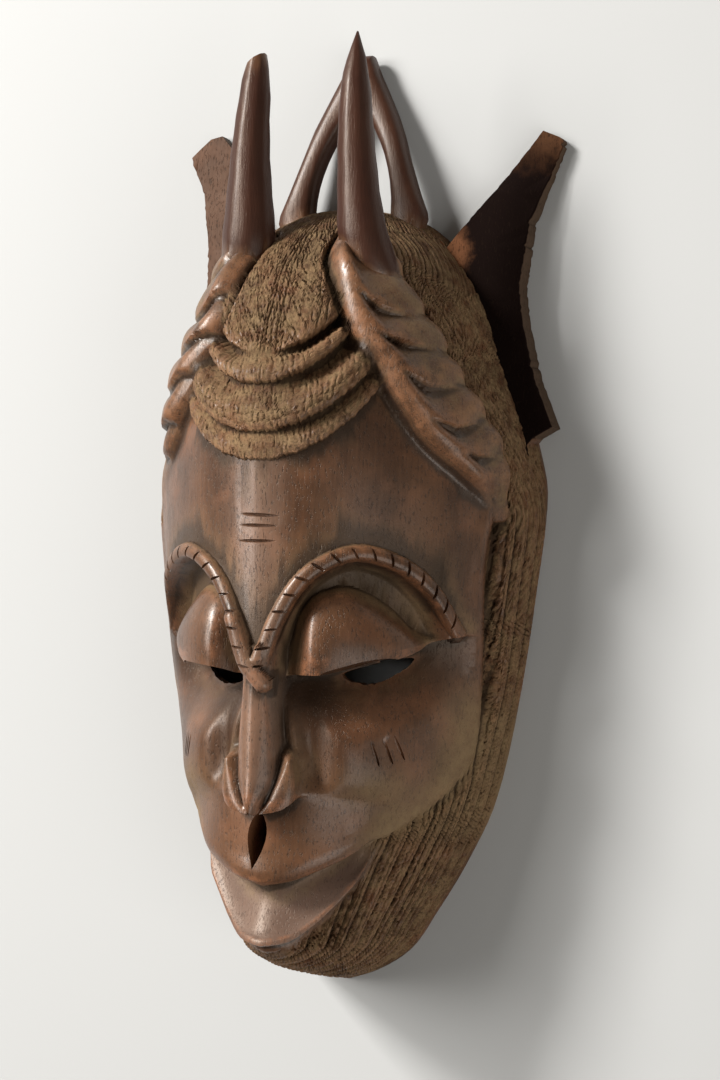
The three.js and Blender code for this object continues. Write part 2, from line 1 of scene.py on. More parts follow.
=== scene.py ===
# %% [markdown]
# # A carved horned mask
#
# The object is one block of dark hardwood, carved in relief in front and hollowed out behind. It
# lies on its flat back rim, face up. This lesson rebuilds it step by step: first the plain rounded
# block, then the carving as a height over that block, then the tool marks, then the free-standing
# horns and the hanging loop, and last the finish of the wood.
#
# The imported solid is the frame: it says where the mask is and how large it may be.

import math

import bpy
import numpy as np
from mathutils import Matrix, Vector
from mathutils.geometry import tessellate_polygon


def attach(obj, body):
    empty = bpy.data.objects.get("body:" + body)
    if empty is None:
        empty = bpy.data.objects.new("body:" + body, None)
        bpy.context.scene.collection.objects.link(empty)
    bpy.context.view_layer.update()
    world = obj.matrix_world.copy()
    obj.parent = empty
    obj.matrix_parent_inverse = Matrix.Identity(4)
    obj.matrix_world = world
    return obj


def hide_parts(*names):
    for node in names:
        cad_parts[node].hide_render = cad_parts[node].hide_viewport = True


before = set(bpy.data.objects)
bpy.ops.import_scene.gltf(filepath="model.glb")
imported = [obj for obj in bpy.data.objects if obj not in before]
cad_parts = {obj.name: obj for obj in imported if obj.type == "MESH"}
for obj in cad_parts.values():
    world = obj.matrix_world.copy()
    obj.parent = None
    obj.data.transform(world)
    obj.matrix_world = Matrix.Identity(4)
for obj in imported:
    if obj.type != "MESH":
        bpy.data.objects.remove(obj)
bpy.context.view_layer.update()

# %% [markdown]
# ## Working sizes
#
# The carving is laid out in millimetres as a carver would: across from the middle line, up from
# the chin along the flat back, and out of the back. Only when a mesh is made of them are the
# points turned into metres about the middle of the block, where the solid has its origin.

# %% Sizes of the block
MIDDLE_OF_BLOCK = np.array([2.40, 227.75, 0.0])
METRES = 0.001
HEAD_LENGTH = 381.0
SECTION_POWER = 1.7

FINENESS = 1.0


def smooth(x, low, high):
    """0 below low, 1 above high, and an even S between them."""
    t = np.clip((x - low) / (high - low), 0, 1)
    return t * t * (3 - 2 * t)


def fall(x, low, high):
    """1 below low, 0 above high."""
    return 1 - smooth(x, low, high)


def within(x, low, full, fading, out):
    """A window: 0 below low, 1 from full to fading, and 0 again above out."""
    return smooth(x, low, full) * fall(x, fading, out)


def dome(q):
    """The height of a half circle of radius 1 at q from its middle."""
    return np.sqrt(np.clip(1 - q * q, 0, None))


def bell(x, middle, reach):
    """A soft bump of height 1."""
    return np.exp(-((x - middle) / reach) ** 2)


def higher(a, b, width):
    """The higher of two surfaces, with the corner between them rounded over a width."""
    near = np.clip(width - np.abs(a - b), 0, None) / width
    return np.maximum(a, b) + near * near * width / 4


def through(pairs):
    """A smooth curve through (place, value) pairs that never swings past them."""
    places, values = np.array(pairs, float).T
    spans = np.diff(places)
    slopes = np.diff(values) / spans
    tangents = np.zeros_like(values)
    tangents[0], tangents[-1] = slopes[0], slopes[-1]
    before, after = slopes[:-1], slopes[1:]
    turning = before * after <= 0
    first = 2 * spans[1:] + spans[:-1]
    second = spans[1:] + 2 * spans[:-1]
    safe_before = np.where(turning, 1, before)
    safe_after = np.where(turning, 1, after)
    mean = (first + second) / (first / safe_before + second / safe_after)
    tangents[1:-1] = np.where(turning, 0, mean)

    def at(place):
        place = np.clip(place, places[0], places[-1])
        i = np.clip(np.searchsorted(places, place, side="right") - 1, 0, len(spans) - 1)
        t = (place - places[i]) / spans[i]
        rise = values[i + 1] - values[i]
        c = 3 * rise - spans[i] * (2 * tangents[i] + tangents[i + 1])
        d = spans[i] * (tangents[i] + tangents[i + 1]) - 2 * rise
        return values[i] + t * (spans[i] * tangents[i] + t * (c + t * d))

    return at


half_width = through([(0, 0), (5, 14), (18, 33.5), (37, 46.5), (62, 61.5), (92, 75.3), (146, 87),
                      (190, 93.2), (239, 98.2), (263, 93.5), (300, 80), (331, 69), (358, 50),
                      (373, 31), (HEAD_LENGTH, 0)])
depth = through([(0, 0), (6, 32), (18, 78), (28, 96), (57, 98), (100, 108), (150, 113),
                 (215, 114.5), (282, 117), (315, 108), (340, 94), (358, 74), (372, 46),
                 (HEAD_LENGTH, 0)])

# %% [markdown]
# ## The plain rounded block
#
# Before any feature is cut, a carver rounds the block. Each level slice is half of a rounded
# diamond, a little flatter on the cheeks than an ellipse. One function gives a point of this form
# from a place across it, -1 at one rim and 1 at the other, and its height up from the chin. The
# direction that points straight out of it comes from the slope of the same formula.


# %% The form
def form_point(across, y):
    angle = across * math.pi / 2
    x = half_width(y) * np.sign(angle) * np.abs(np.sin(angle)) ** (2 / SECTION_POWER)
    z = depth(y) * np.clip(np.cos(angle), 0, None) ** (2 / SECTION_POWER)
    z = np.where(np.abs(across) >= 1, 0, z)
    return np.stack([x, y + 0 * x, z], -1)


def form_height(x, y):
    q = np.clip(np.abs(x) / np.maximum(half_width(y), 0.001), 0, 1)
    return depth(y) * (1 - q ** SECTION_POWER) ** (1 / SECTION_POWER)


def form_normal(p):
    x, y, z = p[..., 0], p[..., 1], p[..., 2]
    step = 0.5
    (w, w_slope), (m, m_slope) = (
        (np.maximum(line(y), 1), (line(y + step) - line(y - step)) / (2 * step))
        for line in (half_width, depth))
    qx = np.abs(x) / w
    qz = np.abs(z) / m
    n = SECTION_POWER
    along_x = np.sign(x) * qx ** (n - 1) / w
    along_z = qz ** (n - 1) / m
    along_y = -(qx ** n * w_slope / w + qz ** n * m_slope / m)
    normal = np.stack([along_x, along_y, along_z], -1)
    return normal / np.maximum(np.linalg.norm(normal, axis=-1, keepdims=True), 1e-9)


def spline(corners, steps):
    """A smooth line through the corners, with so many points from each to the next."""
    corners = np.array(corners, float)
    ends = np.concatenate([[2 * corners[0] - corners[1]], corners,
                           [2 * corners[-1] - corners[-2]]])
    t = np.linspace(0, 1, steps, endpoint=False)[:, None]
    pieces = [0.5 * (2 * b + (c - a) * t + (2 * a - 5 * b + 4 * c - d) * t ** 2
                     + (3 * b - 3 * c + d - a) * t ** 3)
              for a, b, c, d in zip(ends, ends[1:], ends[2:], ends[3:])]
    return np.concatenate(pieces + [corners[-1:]])


def length_along(points):
    """How far along the line each of its points is."""
    return np.concatenate([[0], np.cumsum(np.linalg.norm(np.diff(points, axis=0), axis=1))])


def evenly(points, count):
    """Evenly spaced points on a line, and their distance along it."""
    along = length_along(points)
    even = np.linspace(0, along[-1], count)
    return np.column_stack([np.interp(even, along, axis) for axis in points.T]), even


def drawn_on_form(path, count):
    """A line drawn on the form, in so many even steps."""
    flat = spline(path, 12)
    return evenly(np.column_stack([flat, form_height(*flat.T)]), count + 1)


def nearest_on(line, p):
    """For each point: how far off the line it is, how far along it, and on which side."""
    points, along = line
    off = np.full(p.shape[:-1], 1e9)
    at = np.zeros_like(off)
    side = np.zeros_like(off)
    for a, b, low, high in zip(points, points[1:], along, along[1:]):
        edge = b - a
        reach = p - a
        t = np.clip(reach @ edge / (edge @ edge), 0, 1)
        distance = np.linalg.norm(reach - t[..., None] * edge, axis=-1)
        nearer = distance < off
        off = np.where(nearer, distance, off)
        at = np.where(nearer, low + t * (high - low), at)
        turn = edge[0] * reach[..., 1] - edge[1] * reach[..., 0]
        side = np.where(nearer, np.sign(turn), side)
    return off, at, side


# %% [markdown]
# ## The carving as a height
#
# Everything on the front of the block can be said as a height in or out of the plain form: the
# twisted brows, the heavy lids over their deep hollows, the nose with its two leaf-shaped wings,
# the jutting lips, the layered cap of hair and the twisted side locks. Sculpting by hand would
# also work, but heights from a few named lines keep the mask even on both sides and easy to
# change. Each feature is one small function of the place on the face.

# %% Brows and eyes
BROW_PATH = [(2.5, 157), (10, 178), (22, 197.5), (40, 208), (56, 204), (67, 192), (75, 172)]
BROW_HALF_WIDTH = 4.0
BROW_HEIGHT = 4.2
LID_HEIGHT = 38
LID_CROWN = 0.25
LID_RISE = 13.5
LID_CORNER = 75
CRESCENT_DEPTH = 9.5
EYE_HOLLOW_DEPTH = 17
EYE_HOLLOW_LENGTH = 38

lid_top = through([(8, 156), (14, 165), (19.5, 181), (28, 190), (39, 193), (48, 190), (57, 183),
                   (64, 174), (70, 170.5), (100, 172)])
lid_cut = through([(0, 150), (17, 152), (36, 154), (50, 158.5), (64, 164), (77, 171.5),
                   (100, 171.5)])
brow_line = through(BROW_PATH)
brow_points = drawn_on_form(BROW_PATH, 90)
crossing_points = drawn_on_form([(-4.5, 149), (-1, 153.5), (3, 159), (10, 178)], 20)


def cord(off, half_width, height):
    return height * dome(off / half_width) ** 0.8


def lid_relief(side, y, brow_off):
    near_nose = fall(side, 12, 30)
    corner = fall(side, LID_CORNER - 8, LID_CORNER)
    sunk = -(CRESCENT_DEPTH + 3 * near_nose) * smooth(brow_off, 2, 9) * smooth(side, 5, 12) * corner
    low = lid_cut(side)
    tall = np.maximum(lid_top(side) - low, 3)
    up = np.clip((y - low) / tall, 0, 1)
    over = np.where(up > LID_CROWN, (up - LID_CROWN) / (1 - LID_CROWN), (LID_CROWN - up) * 0.9)
    outer_part = smooth(side, 34, 60)
    lid = np.clip(1 - over * over, 0, None) ** (0.6 + 0.6 * outer_part)
    full = (tall / LID_HEIGHT) ** 0.45 * within(side, 13, 25, 60, 76)
    return sunk + LID_RISE * lid * full


# %% Nose and cheeks
NOSE_SIDE_SLOPE = 1.7
WING_PATH = [(3.2, 91.5), (7.6, 93.6), (11.2, 97.5), (13.4, 104.5), (14.8, 114)]
WING_HEIGHT = 6.8
WING_SIDE_SLOPE = 1.5
GROOVE_DEPTH = 8
FOLD_PATH = [(18.5, 114), (16.8, 124), (15.6, 134), (13.5, 148)]
FOLD_HALF_WIDTH = 3.6
FOLD_RISE = 3.4
FURROW_BESIDE_NOSE = 3
CHEEK_FULLNESS = 3.2

nose_ridge = through([(86, 9), (95, 10.5), (106, 8), (124, 5.2), (142, 3), (160, 2)])
nose_half_width = through([(86, 1.2), (90, 1.8), (95, 3.5), (101, 5.8), (108, 7.3), (120, 7.3),
                           (130, 6.6), (150, 5.2), (170, 4.7)])
wing_points = drawn_on_form(WING_PATH, 30)
wing_half_width = through([(0, 2.2), (0.2, 4), (0.4, 4.8), (0.7, 3.4), (1, 1.2)])
fold_line = through([(y, x) for x, y in FOLD_PATH])


def cheek_relief(side, y, on_right):
    below = lid_cut(side) - y
    spread = within(side, 5, 15, 56 - 6 * on_right, 82 - 8 * on_right)
    hollow = EYE_HOLLOW_DEPTH * spread * fall(below, 0, EYE_HOLLOW_LENGTH) ** 1.2
    furrow = FURROW_BESIDE_NOSE * bell(side, 26.5, 5) * within(y, 94, 108, 132, 150)
    groove = GROOVE_DEPTH * smooth(y, 92, 120) * fall(side, 14, 40) + furrow
    fold = FOLD_RISE * bell(side, fold_line(y), FOLD_HALF_WIDTH) * within(y, 104, 116, 140, 150)
    full = CHEEK_FULLNESS * bell(side, 47, 17) * bell(y, 106, 15)
    deepest = np.maximum(hollow, groove)
    return full + fold - higher(hollow, groove, 8) + 2 * fall(deepest, 0, 6)


def nose_relief(side, y):
    half = nose_half_width(y)
    ridge = nose_ridge(y) * (1 - 0.6 * np.clip(side / half, 0, 1) ** 1.6)
    return ridge - NOSE_SIDE_SLOPE * np.clip(side - half, 0, None)


def wing_relief(wing_off, wing_along):
    share = wing_along / wing_points[1][-1]
    half = wing_half_width(share)
    round_top = 0.55 + 0.45 * dome(np.clip(wing_off / half, 0, 1))
    crest = (WING_HEIGHT - 4.2 * share ** 1.5) * round_top
    return crest - WING_SIDE_SLOPE * np.clip(wing_off - half, 0, None)


# %% Lips
MOUTH_CORNER = 44

muzzle_top = through([(0, 91), (10, 93), (20, 98), (46, 97), (54, 89), (100, 92)])
mouth_line = through([(0, 56.5), (12.5, 59.5), (23.6, 65), (34, 71.5), (44, 79), (60, 82),
                      (100, 82)])
lip_rim = through([(0, 29.5), (8, 31.5), (17, 39), (25, 48.5), (33, 59.5), (39, 68), (44, 77),
                   (60, 72), (100, 66)])
muzzle_swell = through([(0, 0.4), (0.04, 3.4), (0.1, 5.7), (0.2, 6), (0.4, 3.7), (0.7, 0.8),
                        (1, -2)])
lip_swell = through([(0, 3.0), (0.04, 5.2), (0.09, 5.0), (0.18, 2.6), (0.45, -1.4), (0.85, -5),
                     (1, -5)])


def jutting(side, y, low_line, high_line, swell, fade_from, fade_to):
    """A swell between two lines that dies away towards the corner of the mouth."""
    low = low_line(side)
    up = (y - low) / np.maximum(1, high_line(side) - low)
    return swell(up) * fall(side, MOUTH_CORNER * fade_from, MOUTH_CORNER * fade_to)


# %% [markdown]
# ### Hair
#
# The cap of hair ends on the forehead in thick layers. Each layer is a roll with a worn, upturned
# lower edge, and between two rolls the wood sinks into a pocket that gets deeper towards the side
# locks. The locks themselves are thick bands with a plain inner edge; slanting creases cross the
# rest, so that each turn overlaps the next. Beyond the edge of the face, the head is worked into
# wide strands that follow the flat back like contour lines.

# %% Cap, locks and strands
# Each layer of the cap: its height, half width and drop, its thickness in the middle and at the
# side, and the depth of the pocket over it
CAP_LAYERS = [(313, 54, 64, 1.6, 3.0, 1.4), (325.5, 52, 64, 3.2, 5.4, 4.2),
              (333, 40, 50, 3.0, 5.4, 4.6), (330, 32, 33, 1.6, 5.4, 0)]
EDGE_NICKS = 0.5
CAP_TOP_LENGTH = 66
ROLL_LENGTH = 40
LOCK_PATH = [(26.5, 352), (32, 339.5), (39.5, 325.5), (46, 313), (54, 300), (62.5, 284),
             (71, 269.5), (79, 257), (85.5, 244), (89, 229)]
LOCK_HEIGHT = 10.5
LOCK_TURNS = 7.4
LOCK_SLANT = 0.62
RIGHT_LOCK_INWARD = 8
CREASE_DEPTH = 4.6
PILLOW_RISE = 2.4
EDGE_RIDGE = 1.4
FURROW_DEPTH = 4.2
SIDE_HAIR_RISE = 2.2
STRAND_WIDTH = 9.3
STRAND_DEPTH = 2.0
RELIEF_FADE = 6

cap_half_width = through([(262, 60), (285, 52), (300, 43), (320, 34), (345, 27), (HEAD_LENGTH, 22)])
face_edge = through([(74, 40), (80, 47), (88, 57), (98, 66), (112, 73.5), (136, 78.5), (164, 81),
                     (207, 83.5), (235, 88)])
lock_half_width = through([(0, 11), (0.09, 15.5), (0.2, 18.5), (0.35, 20.8), (0.62, 20),
                           (0.8, 15.5), (1, 5)])
lock_points = drawn_on_form(LOCK_PATH, 90)


def layer_edge(layer, side):
    middle, half, drop = CAP_LAYERS[layer][:3]
    nicks = np.sin(1.7 * side + 2 * layer) + np.sin(3.1 * side + layer) + np.sin(0.6 * side)
    return middle - drop * dome(side / half) + EDGE_NICKS * nicks / 2


def cap_relief(side, y):
    """The cap's height, and how far up its own layer each place is (-1 off the cap)."""
    height = np.zeros_like(side)
    place = np.full_like(side, -1.0)
    outward = smooth(side, 5, 24)
    for layer, (_, half, _, thin, thick, pocket) in enumerate(CAP_LAYERS):
        low = layer_edge(layer, side)
        last = layer == len(CAP_LAYERS) - 1
        top = low + CAP_TOP_LENGTH
        if not last:
            top = np.where(side < CAP_LAYERS[layer + 1][1], layer_edge(layer + 1, side),
                           low + ROLL_LENGTH)
        up = np.clip((y - low) / np.maximum(6, top - low), 0, 1)
        edge = thin + outward * (thick - thin)
        lip = 0.5 + 0.5 * dome(1 - np.clip(up / (0.16 if last else 0.2), 0, 1))
        foot = 0.6 * (not last) - pocket * outward
        layer_height = edge * lip + (foot - edge) * smooth(up, 0.3, 1.0 if last else 0.95)
        here = (side <= half) & (y >= low) & (side <= cap_half_width(y))
        height = np.where(here, layer_height, height)
        place = np.where(here, layer + up, place)
    return height, place


def lock_relief(p, on_right):
    """The lock's height, and the place across it from -1 (inner edge) to 1."""
    off, along, turn = nearest_on(lock_points, p)
    total = lock_points[1][-1]
    signed = off * np.where(turn >= 0, 1, -1)
    half = lock_half_width(along / total)
    q = signed / half
    pitch = total / LOCK_TURNS
    hook = 5 * smooth(-q, 0.2, 0.7)
    phase = (along - LOCK_SLANT * signed + hook) / pitch
    phase = phase + 0.07 * np.sin(2.3 * phase)
    share = phase - np.floor(phase)
    twist = smooth(q, -0.75 - 0.3 * on_right, -0.35 - 0.45 * on_right)
    q = q / (1 - 0.14 * smooth(q, 0, 1) * (1 - np.sin(math.pi * share) ** 0.7))
    inner = dome(np.clip((q + 0.5) / 0.5, -1, 0)) ** 1.25
    outer = 1 - 0.34 * np.clip((q + 0.5) / 1.5, 0, 1) ** 1.5
    edge = dome(np.clip((q - 0.78) / 0.22, 0, 1))
    body = LOCK_HEIGHT * (half / 19) ** 0.6 * np.where(q < -0.5, inner, outer * edge)
    body = body * (0.75 + 0.5 * smooth(along, 3, 12) - 0.25 * smooth(along, 18, 40))
    body = body * (1 - 0.9 * smooth(along, total - 26 - 42 * on_right, total - 2 - 20 * on_right))
    ridge_swell = 0.7 * (1 - twist) * np.sin(math.pi * share)
    fading = (0.9 - 0.6 * on_right) * smooth(q, -0.2, 0.7)
    step = CREASE_DEPTH * twist * (1 - fading) * (half / 19)
    facet = smooth(share, 0, 0.16) * (1 - share) ** 1.5
    bulge = np.sin(math.pi * share) - 0.4
    pillow = PILLOW_RISE * twist * bulge * smooth(q, -0.3 - 0.5 * on_right, 0.5)
    height = body + (ridge_swell + pillow - step * facet) * smooth(body, 0, 3)
    return np.where((np.abs(q) < 1) & (off < half * 1.02), height, -1e9), q


def strand_relief(z):
    """Wide rounded strands, one above the other from the flat back, with a furrow between."""
    share = z / STRAND_WIDTH - np.floor(z / STRAND_WIDTH)
    return -STRAND_DEPTH * np.abs(2 * share - 1) ** 2.4


# %% [markdown]
# ## Laying the carving on the block
#
# The front is a grid of rows and columns. Rows follow the main lines of the carving, so that a lip
# or a lid ends in one clean row of faces and not in a staircase. Two rows close together make each
# sharp step. Between the lines the rows are spread evenly, except at the chin and the crown, where
# the form turns down steeply and they crowd together.

# %% Rows and columns
COLUMNS_PER_SIDE = int(276 * FINENESS)
LINE_STEP = 0.45


def cap_edge(layer, outside):
    half = CAP_LAYERS[layer][1]
    return lambda side: layer_edge(layer, np.minimum(side, half * 0.97)) + outside * smooth(
        side, half, half + 30)


def stepped(line, rows):
    """Two guides close together, one on each side of a line."""
    return [(lambda side: line(side) - LINE_STEP, 1), (lambda side: line(side) + LINE_STEP, rows)]


GUIDES = [
    (lambda side: 0 * side, 120),
    *stepped(lip_rim, 42),
    *stepped(mouth_line, 52),
    *stepped(muzzle_top, 86),
    *stepped(lid_cut, 56),
    (lambda side: np.maximum(lid_cut(side) + 3, brow_line(side) - 5.5), 20),
    (lambda side: np.maximum(lid_cut(side) + 8, brow_line(side) + 5.5), 84),
    *stepped(cap_edge(0, 4), 22),
    *stepped(cap_edge(1, 8), 38),
    *stepped(cap_edge(2, 6), 26),
    *stepped(cap_edge(3, 10), 190),
    (lambda side: HEAD_LENGTH + 0 * side, 0),
]


def even_columns():
    """Places across the form, at even steps over its widest slice."""
    fine = np.linspace(0, 1, 4000)
    slice_points = form_point(fine, np.full_like(fine, 200.0))
    run = length_along(slice_points)
    half = np.interp(np.linspace(0, run[-1], COLUMNS_PER_SIDE + 1), run, fine)
    return np.concatenate([-half[:0:-1], half])


def meet(line, across):
    """The height at which each column meets a line; the width there depends on that height."""
    low = np.zeros_like(across)
    high = np.full_like(across, HEAD_LENGTH)
    for _ in range(30):
        middle = (low + high) / 2
        side = np.abs(form_point(across, middle)[..., 0])
        under = middle < line(side)
        low = np.where(under, middle, low)
        high = np.where(under, high, middle)
    return (low + high) / 2


across = even_columns()
levels = [meet(line, across) for line, _ in GUIDES]
rows = []
for i, (_, count) in enumerate(GUIDES[:-1]):
    count = 1 if count == 1 else max(2, int(count * FINENESS))
    share = np.arange(count) / count
    if i == 0:
        share = share[1:] ** 1.7
    if i == len(GUIDES) - 2:
        share = 1 - (1 - share) ** 1.8
    rows.extend(levels[i] + (levels[i + 1] - levels[i]) * s for s in share)
row_heights = np.array(rows)
base = form_point(np.broadcast_to(across, row_heights.shape), row_heights)
normal = form_normal(base)
print("grid", base.shape[:2])

# %% [markdown]
# The heights are now put together in the order in which a carver would cut them, from the lips up
# to the crown. The same pass notes what each place is (smooth skin, hair, a raised edge, the bottom
# of a pocket), because the finish of the wood depends on it later.

# %% Put the heights together
side = np.abs(base[..., 0])
level = base[..., 1]
on_right = (base[..., 0] < 0).astype(float)
mirrored = np.stack([side, level, base[..., 2]], -1)


def in_window(mask, function, misses, *arrays):
    """Runs a costly function only where it matters, and fills the rest."""
    outputs = [np.full(side.shape, miss, float) for miss in misses]
    for output, found in zip(outputs, function(*[a[mask] for a in arrays])):
        output[mask] = found
    return outputs


def near_line(window, line, points):
    """How far off and how far along a line, looked for only in a window."""
    return in_window(window, lambda p: nearest_on(line, p), (1e3, 0), points)


brow_off, _ = near_line((level > 148) & (level < 224) & (side < 90), brow_points, mirrored)
crossing_off, _ = near_line((level > 140) & (level < 185) & (side < 20), crossing_points,
                            base * [-1, 1, 1])
wing_window = (level > 80) & (level < 125) & (side < 34)
wing_off, wing_along = near_line(wing_window, wing_points, mirrored)
lock_window = (level > 205) & (level < 362) & (side > 8)
lock_side = side + RIGHT_LOCK_INWARD * on_right * smooth(352 - level, 0, 42)
lock_place = np.stack([lock_side, level, form_height(lock_side, level)], -1)
lock_height, lock_q = in_window(lock_window, lock_relief, (-1e9, 9), lock_place, on_right)
lock_off, lock_along = near_line(lock_window, lock_points, lock_place)

# Distance round the slice beyond the edge of the face
run_round = np.cumsum(np.linalg.norm(np.diff(base, axis=1), axis=2), axis=1)
run_round = np.pad(run_round, ((0, 0), (1, 0)))
run_round = np.abs(run_round - run_round[:, [COLUMNS_PER_SIDE]])
past = (side > face_edge(level))[:, COLUMNS_PER_SIDE:]
crossing = np.where(past.any(axis=1), np.argmax(past, axis=1), COLUMNS_PER_SIDE)
beyond = run_round - run_round[np.arange(len(base)), COLUMNS_PER_SIDE + crossing][:, None]

face_share = np.where(level > 235, 1, fall(beyond, -11, 3))
low_lip = (level >= lip_rim(side)) & (level < mouth_line(side))
eye = (level >= lid_cut(side)) & (level < brow_line(side))
soft_width = 0.5 + 8 * smooth(side, 16, 32)
over_muzzle = smooth(level - muzzle_top(side), -soft_width, soft_width)
under_eye = (level >= mouth_line(side)) & (level < lid_cut(side))
relief = np.where(low_lip, jutting(side, level, lip_rim, mouth_line, lip_swell, 0.72, 1), 0)
between = jutting(side, np.minimum(level, muzzle_top(side)), mouth_line, muzzle_top,
                  muzzle_swell, 0.6, 1.25)
between = between + (cheek_relief(side, level, on_right) * face_share - between) * over_muzzle
relief = np.where(under_eye, between, relief)
relief = np.where(eye, lid_relief(side, level, brow_off) * face_share, relief)
nose_zone = (level >= muzzle_top(side)) & (level < 166)
wing = wing_relief(wing_off, wing_along)
relief = np.where(nose_zone & wing_window, higher(relief, wing, 2.5), relief)
relief = np.where(nose_zone, higher(relief, nose_relief(side, level), 2), relief)
dust_in_crescent = eye * smooth(-relief, 2.5, 7) * face_share
brow_end = 1 - (0.6 + 0.4 * on_right) * smooth(side, 68 - 6 * on_right, 78)
relief += cord(brow_off, BROW_HALF_WIDTH, BROW_HEIGHT) * smooth(level, 153, 160) * brow_end
over = cord(crossing_off, BROW_HALF_WIDTH, BROW_HEIGHT + 0.9) + 1.5
relief = np.where(crossing_off < BROW_HALF_WIDTH, np.maximum(relief, over), relief)

# Face edge, furrow and strands of the side of the head
edge_fade = within(level, 70, 88, 222, 240)
beside_eye = edge_fade * (0.3 + 0.7 * smooth(level, 112, 150))
relief += EDGE_RIDGE * beside_eye * bell(beyond, -4, 4.5)
relief -= FURROW_DEPTH * beside_eye * bell(beyond, 5.5, 4)
relief += SIDE_HAIR_RISE * beside_eye * smooth(beyond, 7, 13)
on_jaw = fall(level, 112, 145)
past_edge = smooth(beyond, 3 - 9 * on_jaw, 8 + 8 * on_jaw)
strand_zone = np.maximum(past_edge * edge_fade, smooth(lip_rim(side) - level, 2, 9) * (level < 90))
strand_zone = np.maximum(strand_zone, past_edge * (level < 100) * smooth(level, 60, 70))
relief += strand_relief(base[..., 2]) * strand_zone

cap_height, cap_place = cap_relief(side, level)
on_cap = (cap_place >= 0) & ((lock_q < -1.0) | (side < 20) | (cap_place >= 3))
cap_place = np.where(on_cap, cap_place, -1)
relief = np.where(on_cap, cap_height, relief)


def soften(mask, passes=3):
    """A map of the grid with its steps blurred over a few rows and columns."""
    value = mask.astype(float)
    for _ in range(passes):
        value[1:-1, 1:-1] = (value[:-2, 1:-1] + value[2:, 1:-1] + value[1:-1, :-2]
                             + value[1:-1, 2:] + 2 * value[1:-1, 1:-1]) / 6
    return value


# Furrows on both sides of each lock, then the lock over everything, with its foot eased
inner_gap = 0.45 * smooth(level, 262, 288) + 1.3 * smooth(level, 298, 312)
inner_gap = bell(lock_q, -1.08, 0.1) * inner_gap
outer_gap = bell(lock_q, 1.12, 0.12) * (level > 232)
relief -= 2.2 * inner_gap + 2.6 * outer_gap
on_lock = lock_height > relief
relief = np.maximum(relief, lock_height)
at_foot = bell(lock_q, -1.0, 0.13) * fall(level, 296, 312)
relief += (soften(relief, 6) - relief) * at_foot
relief *= smooth(base[..., 2], 0, RELIEF_FADE)
print("relief from", round(relief.min(), 1), "to", round(relief.max(), 1), "mm")

# %% [markdown]
# ## The head as a mesh
#
# Rows become rings that close across the flat back, with one point at the chin and one at the
# crown, so the head is a watertight body from the start. The marks of places go onto its points as
# attributes, where the tool-mark step can read them.


# %% Build the head
def ring_faces(ring_count, ring_size, first_pole, last_pole):
    """Triangles for a stack of closed rings with a pole at each end."""
    k = np.arange(ring_size)
    k_next = (k + 1) % ring_size
    r = np.arange(ring_count - 1)[:, None] * ring_size
    lower = np.stack([r + k, r + k_next, r + ring_size + k_next], -1).reshape(-1, 3)
    upper = np.stack([r + k, r + ring_size + k_next, r + ring_size + k], -1).reshape(-1, 3)
    top = (ring_count - 1) * ring_size
    first = np.stack([np.full(ring_size, first_pole), k_next, k], -1)
    last = np.stack([np.full(ring_size, last_pole), top + k, top + k_next], -1)
    return np.concatenate([first, lower, upper, last])


def in_scene(name, data):
    made = bpy.data.objects.new(name, data)
    bpy.context.scene.collection.objects.link(made)
    return made


def mesh_object(name, points, faces=(), edges=()):
    """A mesh object from millimetre points in the working layout."""
    mesh = bpy.data.meshes.new(name)
    in_frame = (points - MIDDLE_OF_BLOCK) * METRES
    mesh.from_pydata(in_frame.tolist(), edges, np.asarray(faces).tolist())
    mesh.update()
    return in_scene(name, mesh)


def add_marks(target, name, values):
    """Stores one number or one vector for each point."""
    values = np.asarray(values, np.float32)
    kind = "FLOAT" if values.ndim == 1 else "FLOAT_VECTOR"
    attribute = target.data.attributes.new(name, kind, "POINT")
    attribute.data.foreach_set("value" if kind == "FLOAT" else "vector", values.ravel())


def lofted(name, rings, first_pole, last_pole, **marks):
    """A closed body from rings of equal length and two poles, with marks on all its points."""
    ring_count, ring_size, _ = rings.shape
    points = np.concatenate([rings.reshape(-1, 3), [first_pole, last_pole]])
    count = ring_count * ring_size
    made = mesh_object(name, points, ring_faces(ring_count, ring_size, count, count + 1))
    for mark, value in marks.items():
        add_marks(made, mark, value(points) if callable(value) else np.full(len(points), value))
    return made


def with_poles(values):
    """Marks of the head's grid, with plain values for the two poles."""
    flat = values.reshape(-1, *values.shape[2:])
    return np.concatenate([flat, np.zeros((2, *flat.shape[1:]))])


carved = base + normal * relief[..., None]
head = lofted("head", carved, [0, 0, 0], [0, HEAD_LENGTH, 0])
print("head:", len(head.data.vertices), "points,", len(head.data.polygons), "triangles")

# %% [markdown]
# ## Small builders for node trees
#
# Tool marks that repeat, and the finish of the wood, are node trees. A few lines of Python let them
# be written as plain formulas: the output of a node is wrapped so that it can be added, multiplied
# and compared, and one method makes every other kind of node.


# %% Formulas for node trees
class Value:
    """The output of a node, for use in plain arithmetic."""

    def __init__(self, tree, socket):
        self.tree, self.socket = tree, socket

    def __abs__(self):
        return self.tree.math("ABSOLUTE", self)


# Each operator makes a node, whichever side the plain number is on
for short, operation in (("add", "ADD"), ("sub", "SUBTRACT"), ("mul", "MULTIPLY"),
                         ("truediv", "DIVIDE"), ("pow", "POWER")):
    setattr(Value, f"__{short}__", lambda a, b, operation=operation: a.tree.math(operation, a, b))
    setattr(Value, f"__r{short}__", lambda b, a, operation=operation: b.tree.math(operation, a, b))


